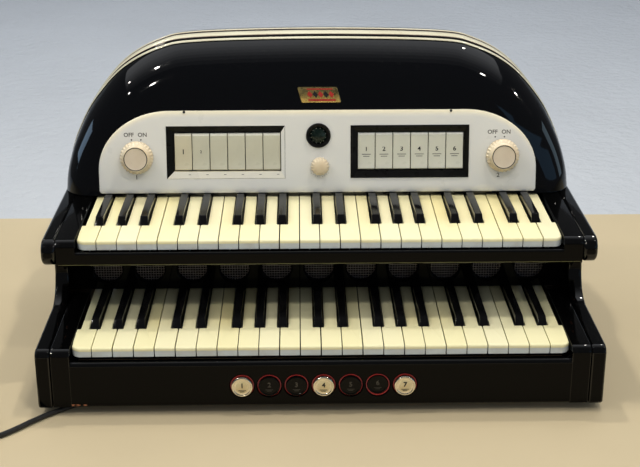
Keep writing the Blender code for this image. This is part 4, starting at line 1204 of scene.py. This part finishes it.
panelSettings = {
    "half": 273.8,
    "low": 3.2,
    "high": 107.0,
    "corner": (90.0, 75.0),
    "footRound": 4.0,
    "thick": 3.0,
    "face": -3.3,
    "seat": -0.3,
    "roll": 9.0,  # width of the rolled edge
    "windowX": (41.0, 188.5),
    "windowH": (21.8, 87.8),
    "tabs": 6,
    "tabPitch": 22.1,
    "tabLow": 32.0,
    "tabHigh": 78.2,
    "tabsFrom": {"left": -179.0, "right": 49.6},
    "knobs": {"left": (-225.5, 49.3), "right": (230.7, 49.3)},
    "knobY": -3.6,
    "labels": {"left": (-225.6, 71.4), "right": (227.0, 72.5)},
    "tuning": (2.6, 37.1),
    "eye": (0.7, 75.5),
    "fixings": ((-165.5, 105.6), (165.5, 105.6)),
    "plate": (0.8, 0, 126.0),
    "plateHigh": 9.6,
    "plateSlant": 5.5 / 19.2,
}


def panelOutline(inset, s):
    wide, tall = s["corner"]
    shoulder = [(s["half"] - wide + (wide - inset) * x, s["high"] - tall + (tall - inset) * y)
                for x, y in quarterArc(24)]
    r = s["footRound"]
    foot = [(s["half"] - inset - r + r * y, s["low"] + inset + r - r * x) for x, y in quarterArc(6)]
    right = foot + shoulder
    return right + [(-x, h) for x, h in reversed(right)]


def hoodShell(s):
    bm = bmesh.new()
    skins = []
    for inset in (0.0, s["wall"]):
        columns = []
        for point, normal in hoodArch(s):
            centre, radius = filletAt(point, normal, s)
            spots = [centre + filletTurn(normal, share, s) * (radius - inset)
                     for share in angles(1, s["filletSteps"])]
            for y, shrink in s["backRings"]:
                x, z = point - normal * (inset + shrink)
                spots.append((x, y, z))
            columns.append([bm.verts.new(spot) for spot in spots])
        skins.append(list(zip(*columns)))
    outer, inner = skins
    for rows in skins:
        bm.faces.new(rows[0])
        bridgeAll(bm, rows, False)
    bridge(bm, outer[-1], inner[-1], False)
    for k in (0, -1):
        bridge(bm, [row[k] for row in outer], [row[k] for row in inner], False)
    bm.faces.new((outer[0][0], outer[0][-1], inner[0][-1], inner[0][0]))
    bmesh.ops.recalc_face_normals(bm, faces=bm.faces)
    obj = makePiece("hoodShell", bm, "hood", "hood_lacquer", smooth=50, replace=("hood_shell",))
    opening = prism(panelOutline(s["openingInset"], panelSettings), "Y", -20, 30)
    bmesh.ops.transform(opening, matrix=Matrix.Translation(facePlace) @ faceTilt, verts=opening.verts)
    carve(obj, [boxed((-400, 400), (-50, 300), (100, s["faceZ"] + 0.3)), opening])
    smoothShade(obj.data, 40)


def onHood(point, normal, y, s):
    # the spot on the shell at that depth, and its outward direction
    centre, radius = filletAt(point, normal, s)
    if y >= centre.y + filletTurn(normal, 1.0, s).y * radius:
        shrink = 0.0
        for (y0, d0), (y1, d1) in zip(s["backRings"], s["backRings"][1:]):
            if y > y0:
                shrink = d0 + (d1 - d0) * min((y - y0) / (y1 - y0), 1)
        out = Vector((normal.x, 0, normal.y))
        return Vector((point.x, y, point.y)) - out * shrink, out
    low, high = 0.0, 1.0
    for _ in range(30):
        middle = (low + high) / 2
        if (centre + filletTurn(normal, middle, s) * radius).y < y:
            low = middle
        else:
            high = middle
    way = filletTurn(normal, low, s)
    return centre + way * radius, way


def trimMarks(s):
    # across the trim: (share of its width, height over the hood, material of the band that starts there)
    cream, black, rose = 0, 1, 2
    marks = [(0.0, 0.05, black), (0.0, 0.7, black), (1.0, 0.7, black), (1.0, 0.05, black)]
    for start, end, foot, top in s["ribs"]:
        for a in angles(math.pi, 8):
            share = start + (end - start) * (0.5 - 0.5 * math.cos(a))
            marks.append((share, foot + (top - foot) * math.sin(a), cream))
    for start, end in s["gaps"]:
        marks += [(start, 0.9, rose), (start + 0.015, 0.6, black), (end, 0.6, rose),
                  (end + 0.015, 0.9, cream)]
    return sorted(marks, key=lambda mark: mark[0])


def hoodTrim(s):
    low, high = s["trim"]
    marks = trimMarks(s)
    bm = bmesh.new()
    rows = []
    for point, normal in hoodArch(s):
        rows.append([])
        for share, height, _ in marks:
            spot, way = onHood(point, normal, low + (high - low) * share, s)
            rows[-1].append(bm.verts.new(spot + way * height))
    for one, two in zip(rows, rows[1:]):
        for face, (_, _, material) in zip(bridge(bm, one, two), marks):
            face.material_index = material
    bm.faces.new(rows[0])
    bm.faces.new(rows[-1])
    bmesh.ops.recalc_face_normals(bm, faces=bm.faces)
    bmesh.ops.bisect_plane(bm, geom=bm.verts[:] + bm.edges[:] + bm.faces[:], plane_co=(0, 0, s["trimFoot"]),
                           plane_no=(0, 0, 1), clear_inner=True)
    bmesh.ops.holes_fill(bm, edges=[e for e in bm.edges if e.is_boundary], sides=0)
    makePiece("hoodTrim", bm, ("cream", "lacquer", "rose"), "trim_cream", smooth=32, replace=("hood_trim",))


rearSettings = {
    "half": 300,
    "low": 13,
    "y": (197.0, 200.0),
    "vents": (90, 255),
    "ventPitch": 26,
    "screws": [(-285, 24), (-95, 24), (95, 24), (285, 24), (-285, 165), (285, 165), (-250, 262), (250, 262),
               (-150, 335), (0, 342), (150, 335)],
}


def rearCover(s, hood):
    inset = hood["backRings"][-1][1] + 2.5
    top = [p - n * inset for p, n in hoodArch(hood)]
    half, low, square = s["half"], s["low"], hood["faceZ"]
    outline = [(-half, low), (-half, square)] + [tuple(p) for p in top if p.y > square + 10]
    obj = lacquered("rearCover", prism(outline + [(half, square), (half, low)], "Y", *s["y"]), "rear_cover")
    vents = bmesh.new()
    for z in s["vents"]:
        for k in range(-6, 7):
            x = k * s["ventPitch"]
            corners = [(x - 3, z), (x + 3, z), (x + 3, z + 26), (x - 3, z + 26)]
            prism(roundedOutline(corners, 2.9, 6), "Y", 190, 205, vents)
    carve(obj, [vents])
    screws = bmesh.new()
    back = s["y"][1]
    for x, z in s["screws"]:
        head = [(4.6, 0.4), (4.6, -0.05), (4.2, -0.3), (3.2, -0.3), (3.0, -0.15), (2.4, -0.3), (0, -0.3)]
        lathe(head, 24, bm=screws, centre=(x, back - 0.3, z))
        boxed((x - 2.6, x + 2.6), (back - 0.1, back), (z - 0.35, z + 0.35), screws, 1)
    makePiece("rearScrews", screws, ("steel", "ink"), "zinc_steel", smooth=25)


hoodShell(hoodSettings)
hoodTrim(hoodSettings)
rearCover(rearSettings, hoodSettings)
print("hood made")


# Front panel with its switch trays, rocker tabs, knobs and tuning indicator

def onPanel(name, bm, looks, slotName, body="case", **more):
    return makePiece(name, bm, looks, slotName, body, facePlane, **more)


def frontPanel(s):
    rolled = [(0.0, s["seat"])]  # rolled edge: inset and depth
    rolled += [(s["roll"] * (1 - x), -0.7 - (s["thick"] - 0.4) * y) for x, y in quarterArc(14)]
    bm = bmesh.new()
    rows = [[bm.verts.new((x, y, h)) for x, h in panelOutline(inset, s)] for inset, y in rolled]
    caps = [bm.faces.new(rows[0]), bm.faces.new(rows[-1])]
    closeFaces(bm, bridgeAll(bm, rows) + caps)
    obj = onPanel("frontPanel", bm, "panel", "cream_panel", replace=("control_panel",))
    cutters = bmesh.new()
    low, high = s["windowH"]
    for side, sign in sides.items():
        near, far = sorted(sign * x for x in s["windowX"])
        boxed((near - 0.3, far + 0.3), (-10, 10), (low - 0.3, high + 0.3), cutters)
    for x, h in (*s["knobs"].values(), s["tuning"]):
        lathe([(3.6, 10), (3.6, -10)], 32, bm=cutters, centre=(x, 0, h))
    x, h = s["eye"]
    lathe([(13.4, 10), (13.4, 3.2), (12.8, 2.4), (12.8, -10)], 64, bm=cutters, centre=(x, 0, h))
    carve(obj, [cutters])
    fixings = bmesh.new()
    for x, h in s["fixings"]:
        head = [(1.6, 0.9), (1.6, -0.05), (1.0, 0.2), (0, 0.25)]
        lathe(head, 20, bm=fixings, centre=(x, s["face"] + 0.9, h))
    onPanel("panelFixings", fixings, "ink", "black_plastic")


def mitredTray(side, s):
    # four mitred bars round the tabs; the left tray is sunk, and two of its bars have the panel's colour
    sunk = side == "left"
    x, h = sorted(sides[side] * x for x in s["windowX"]), s["windowH"]
    start = s["tabsFrom"][side]
    innerX = (start - 0.8, start + s["tabs"] * s["tabPitch"] + 0.6)
    innerH = (s["tabLow"] - 1.5, s["tabHigh"] + 1.5)
    outerY, innerY = (-3.32, 2.4) if sunk else (-4.5, -1.2)
    bm = bmesh.new()

    def corners(rx, rh, inset, y):
        return [(rx[0] + inset, y, rh[0] + inset), (rx[1] - inset, y, rh[0] + inset),
                (rx[1] - inset, y, rh[1] - inset), (rx[0] + inset, y, rh[1] - inset)]

    def verts(points):
        return [bm.verts.new(p) for p in points]

    rows = [corners(x, h, 0, 8.0), corners(x, h, 0, outerY + 0.4), corners(x, h, 0.4, outerY)]
    if not sunk:
        rows += [corners(x, h, 1.7, outerY), corners(x, h, 2.3, outerY + 0.8)]
    rows += [corners(innerX, innerH, 0, innerY), corners(innerX, innerH, 0, 16.0)]
    rings = [verts(row) for row in rows]
    caps = [bm.faces.new(rings[0]), bm.faces.new(rings[-1])]
    closeFaces(bm, bridgeAll(bm, rings) + caps)
    outer, inner = corners(x, h, 0.02, -3.34), corners(innerX, innerH, 0.02, -2.2)
    for a, b in ((0, 1), (1, 2)) if sunk else ():
        bar = (outer[a], outer[b], inner[b], inner[a])
        front, rear = verts(bar), verts([(p[0], 4.0, p[2]) for p in bar])
        closeFaces(bm, [bm.faces.new(front), bm.faces.new(rear)] + bridge(bm, front, rear), 1)
    onPanel("switchTray" + side.capitalize(), bm, ("moulding", "panel"), "black_plastic", smooth=15,
            replace=(f"switch_frame_{side}",))


tabSettings = {
    "gap": 1.0,
    "pivotY": 9,
    "crown": 9.55,  # from the pivot to the tab's face
    "printFrom": 8.62,  # from the pivot to the numerals, in the dish
    "dish": 1.0,
    "round": 0.55,
    "numeral": {"right": 8.0, "left": 8.5, "leftFaded": 5.0},
}


def rockerTab(side, number, s, p):
    node = f"switch_tab_{side}_{number}"
    h = (p["tabHigh"] - p["tabLow"]) / 2
    half = (p["tabPitch"] - s["gap"]) / 2
    low, high = 1.4 - h, h - 3.4
    outline = [(-8.5, -h), (-s["crown"], low)]
    for k in range(1, 12):  # shallow dish, as on a rocker, and a rounded upper end
        share = k / 12
        outline.append((s["dish"] * math.sin(math.pi * share) - s["crown"], low + (high - low) * share))
    outline += [(-s["crown"], h - 3.0), (-9.3, h - 1.7), (-8.6, h - 0.6), (-7.4, h), (-4.5, h), (-3, 4),
                (3, 3), (3, -3), (-3, -4), (-4.5, -h)]
    bm = softEdges(prism(outline, "X", -half, half), s["round"], 3, 50,
                   lambda edge: max(v.co.y for v in edge.verts) < -8)
    x, middle = p["tabsFrom"][side] + (number - 0.5) * p["tabPitch"], (p["tabLow"] + p["tabHigh"]) / 2
    look = {"left": "tab", "right": "tabPale"}[side]
    if side == "left" and number == 1:
        look = "tabYellow"
    onPanel(f"rockerTab{side.capitalize()}{number}", tidyFaces(bm), look, "beige_tabs", node,
            at=(x, s["pivotY"], middle), replace=(node,))
    face = s["pivotY"] - s["printFrom"]
    if side == "right":
        plainText(f"tabNumeral{number}", str(number), s["numeral"]["right"], (x, face, middle + 2.4), "ink",
                  node, facePlane)
        bars = bmesh.new()
        for row in range(2):
            wide, z = 5.6 - 1.6 * row, middle - 4.2 - 2.6 * row
            boxed((x - wide, x + wide), (0.30 + 0.02 * row, 0.6), (z - 0.35, z + 0.35), bars)
        onPanel(f"tabBars{number}", bars, "ink", "beige_tabs", node)
    elif number <= 2:
        size, look = {1: (s["numeral"]["left"], "ink"), 2: (s["numeral"]["leftFaded"], "faded")}[number]
        plainText(f"tabNumeralLeft{number}", str(number), size, (x, face, middle), look, node,
                  facePlane)


knobSettings = {
    "rim": 21.0,
    "top": 16.2,
    "height": 15.5,
    "lobes": 28,
    "lobeDepth": 1.5,
    "tuningLobes": 16,
    "tuningLobeDepth": 1.1,
}


def bigKnob(side, s, p):
    rim, top, height = s["rim"], s["top"], s["height"]
    skirt = [(2.9, -12), (2.9, 0.9), (rim - 1.2, 0.9), (rim - 0.3, 1.5), (rim, 2.6), (rim - 0.1, 5.0),
             (rim - 1.2, 6.4), (top + 1.6, 7.6), (top + 1.0, 8.2)]
    cap = [(top + 0.9, 8.1), (top + 0.35, 8.8), (top + 0.1, height - 2.0), (top - 0.2, height - 0.9),
           (top - 0.7, height - 0.25), (top - 1.3, height)]
    ring = [(top - 1.5, height - 0.05), (top - 1.6, height - 0.55), (top - 2.4, height - 0.55),
            (top - 2.5, height - 0.1)]
    disc = [(top - 2.6, height - 0.15), (top - 5, height - 0.35), (4, height - 0.5), (0, height - 0.5)]
    bm = lathe(skirt + cap + ring + disc, 168, s["lobes"], s["lobeDepth"], (4, 5, 6))
    for face in bm.faces:
        reach = [math.hypot(v.co.x, v.co.z) for v in face.verts]
        if -face.calc_center_median().y <= height - 1.2:
            continue
        if max(reach) <= top - 1.3 and min(reach) >= top - 2.65:
            face.material_index = 1
        elif max(reach) < top - 2.4:
            face.material_index = 2
    node = "knob_" + side
    x, h = p["knobs"][side]
    onPanel("rotarySwitch" + side.capitalize(), bm, ("knob", "ink", "knobFace"), "knob_cream", node,
            at=(x, p["knobY"], h), replace=(node,))


def tuningKnob(s, p):
    profile = [(2.9, -12), (2.9, 0.6), (11.0, 0.6), (11.7, 1.2), (11.8, 4.6), (11.2, 6.6), (9.8, 8.2),
               (7.4, 9.5), (3.6, 10.1), (0, 10.2)]
    bm = lathe(profile, 96, s["tuningLobes"], s["tuningLobeDepth"], (3, 4, 5, 6))
    x, h = p["tuning"]
    onPanel("tuningKnob", bm, "knob", "knob_cream", "tuning_knob", at=(x, p["knobY"], h),
            replace=("tuning_knob",))


def tuningEye(p):
    x, h = p["eye"]
    at = (x, p["face"], h)
    bezel = [(11.9, -29), (11.9, 0.1), (15.4, 0.1), (15.4, 1.4), (15.0, 2.6), (14.1, 3.3), (12.6, 3.3),
             (11.5, 2.6), (11.2, 1.6), (11.2, -6)]
    onPanel("eyeBezel", lathe(bezel, 80), "moulding", "black_plastic", at=at, replace=("tuning_eye",))
    dome = [(0, -31), (8, -30.4), (11.0, -28), (11.0, -2)]
    dome += [(11.0 * c, 6.0 * t - 2) for c, t in quarterArc(8)[:-1]] + [(0, 4.0)]
    onPanel("eyeGlass", lathe(dome, 64), "glass", "eye_glass", at=at, replace=("tuning_eye",))
    cage = bmesh.new()
    for k in range(12):  # bright ends of the indicator's inner cage
        a = 2 * math.pi * (k + 0.5) / 12
        centre = (9.4 * math.cos(a), -1.15, 9.4 * math.sin(a))
        lathe([(0.55, 0), (0.45, 0.35), (0, 0.4)], 10, bm=cage, centre=centre)
    onPanel("eyeCage", cage, "steel", "eye_glass", at=at)


def namePlate(p):
    # bare gilt plate with a plain pattern of two red bars and five diamonds
    high = p["plateHigh"]

    def slanted(x, h):
        return (x - (h - high) * p["plateSlant"], h)

    corners = [slanted(-26, high), slanted(23, high), slanted(23, -high), slanted(-26, -high)]
    bm = prism(roundedOutline(corners, 1.2, 6), "Y", -1.5, -0.35)
    softEdges(bm, 0.3, 2, 50, lambda edge: all(v.co.y < -1 for v in edge.verts))
    onPanel("plainPlate", tidyFaces(bm), "gilt", "gilt", at=p["plate"], replace=("plain_plate",))
    pattern = bmesh.new()
    for h, left, right, tall in ((7.0, -15, 17, 0.8), (-6.6, -17, 17, 1.3)):
        bar = [slanted(left, h - tall), slanted(right, h - tall), slanted(right, h + tall),
               slanted(left, h + tall)]
        prism(bar, "Y", -1.62, -1.3, pattern)
    for k in range(5):
        x = -13 + 6.6 * k
        diamond = [slanted(x - 3.5, 0.4), slanted(x, -4.0), slanted(x + 3.5, 0.4), slanted(x, 4.8)]
        prism(diamond, "Y", -1.66, -1.3, pattern, k % 2)
    onPanel("plateBorder", pattern, ("redInk", "ink"), "gilt", at=p["plate"])


def panelPrint(p):
    face = p["face"]

    def printed(name, words, size, x, h):
        plainText(name, words, size, (x, face, h), "faded", plane=facePlane, extrude=0.03)

    dots = bmesh.new()
    for number, (side, (x, h)) in enumerate(p["labels"].items(), 1):
        printed(f"off{side.capitalize()}", "OFF", 7.2, x - 9.2, h + 6.0)
        printed(f"on{side.capitalize()}", "ON", 7.2, x + 7.8, h + 6.0)
        printed(f"number{side.capitalize()}", str(number), 7.4, x - 1.0, 24.0)
        for dx in (-5.8, 5.8):
            lathe([(0.95, -0.2), (0.95, 0.04), (0, 0.05)], 16, bm=dots, centre=(x + dx, face, h))
    for k in range(p["tabs"]):  # small ticks on the left tray's lower bar, one to each tab
        x = p["tabsFrom"]["left"] + (k + 0.85) * p["tabPitch"]
        boxed((x - 1.5, x + 1.5), (-2.75, -2.3), (26.5, 27.1), dots)
    onPanel("panelDots", dots, "ink", "black_plastic")
    scale = bmesh.new()
    x, h = p["tuning"]
    for degrees in angles(100, 8):  # tuning scale under the small knob
        a = math.radians(degrees - 50)
        lathe([(0.42, -0.2), (0.42, 0.04), (0, 0.05)], 10, bm=scale,
              centre=(x + 14.0 * math.sin(a), face, h - 14.0 * math.cos(a)))
    onPanel("tuningScale", scale, "faded", "black_plastic")


frontPanel(panelSettings)
for side in sides:
    mitredTray(side, panelSettings)
    for number in range(1, panelSettings["tabs"] + 1):
        rockerTab(side, number, tabSettings, panelSettings)
    bigKnob(side, knobSettings, panelSettings)
tuningKnob(knobSettings, panelSettings)
for make in (tuningEye, namePlate, panelPrint):
    make(panelSettings)
print("front panel made")


# Grille behind the lower keys

grilleSettings = {
    "y": -30.0,
    "thick": 8.0,
    "holes": 11,
    "pitch": 51.8,
    "radius": 18.1,
    "chamfer": 1.6,
    "z": 109.6,
    "low": 84,
    "meshPitch": 3.2,
    "wire": 0.42,
    "sway": 0.34,
    "clothHalf": 290,
}


def grilleX(s):
    return [(number - s["holes"] // 2) * s["pitch"] for number in range(s["holes"])]


def grilleBoard(s):
    half = caseSettings["bedHalf"] - 0.3
    bm = boxed((-half, half), (s["y"], s["y"] + s["thick"]), (s["low"], caseSettings["deckBottom"] - 0.3))
    obj = lacquered("grilleBoard", bm, "grille_board")
    r, wide = s["radius"], s["radius"] + s["chamfer"]
    holes = bmesh.new()
    for x in grilleX(s):
        lathe([(wide, 5), (wide, 0.2), (r + 0.5, -0.6), (r, -1.6), (r, -15)], 56, bm=holes,
              centre=(x, s["y"], s["z"]))
    carve(obj, [holes])


def wireTube(bm, points, radius, upright):
    rows = []
    for x, y, z in points:
        rows.append([])
        for k in range(4):
            a = math.pi / 4 + math.pi / 2 * k
            side, out = radius * math.cos(a), radius * math.sin(a)
            rows[-1].append(bm.verts.new((x + side, y + out, z) if upright else (x, y + out, z + side)))
    bridgeAll(bm, rows)


def grilleMesh(s):
    # woven wire: each wire weaves over and under its neighbours
    y = s["y"] + s["thick"] + 0.9
    step, reach = s["meshPitch"], s["radius"] + s["chamfer"]
    count = int(2 * reach / step)
    bm = bmesh.new()
    for cx in grilleX(s):
        for k in range(count + 1):
            offset = -reach + (2 * reach - count * step) / 2 + k * step
            for upright in (False, True):
                points = []
                for along in angles(2 * reach, 2 * count):
                    t = along - reach
                    phase = math.pi * (t + offset) / step + (math.pi if upright else 0)
                    dx, dz = (offset, t) if upright else (t, offset)
                    points.append((cx + dx, y + s["sway"] * math.cos(phase), s["z"] + dz))
                wireTube(bm, points, s["wire"], upright)
    makePiece("grilleMesh", bm, "wire", "grille_wire", replace=("grille_mesh",))
    half = s["clothHalf"]
    back = boxed((-half, half), (y + 1.0, y + 1.4), (s["z"] - reach, s["z"] + reach))
    makePiece("grilleCloth", back, "cloth", "grille_wire", replace=("grille_mesh",))


grilleBoard(grilleSettings)
grilleMesh(grilleSettings)
print("grille made")


# Base, feet and the parts inside

baseSettings = {
    "front": -176.5,
    "top": 22,
    "feet": [(-285, -115), (-285, 160), (285, -115), (285, 160)],
    "foot": [(0, -10.4), (15, -10.4), (15, -3), (14.4, -1.2), (13.4, -0.3), (12.4, 0), (6, 0), (5.4, -0.6),
             (4.2, -2.6), (0, -2.6)],
    "screw": [(3.4, -2.6), (3.3, -2.2), (2.2, -1.7), (0, -1.6)],
}


def baseBoard(s, case):
    half = case["bedHalf"] - 0.5
    bm = softEdges(boxed((-half, half), (s["front"], case["back"]), (case["foot"], s["top"])), 0.6, 2)
    for x, y in s["feet"]:
        for profile, steps, index in ((s["foot"], 40, 1), (s["screw"], 20, 2)):
            appendTo(bm, moved(lathe(profile, steps, index=index), (x, y, 0), math.pi / 2, "X"))
    makePiece("baseBoard", bm, ("wood", "rubber", "steel"), "plain_wood", replace=("base_board",))


def dressNode(node, look):
    # a plain solid that stays as it is and only gets its finish
    for materialSlot in bpy.data.objects[node].material_slots:
        materialSlot.link = "OBJECT"
        materialSlot.material = finishes[look]


baseBoard(baseSettings, caseSettings)
dressNode("reed_chest", "wood")
dressNode("amplifier_chassis", "steel")
print("base and inner parts made")
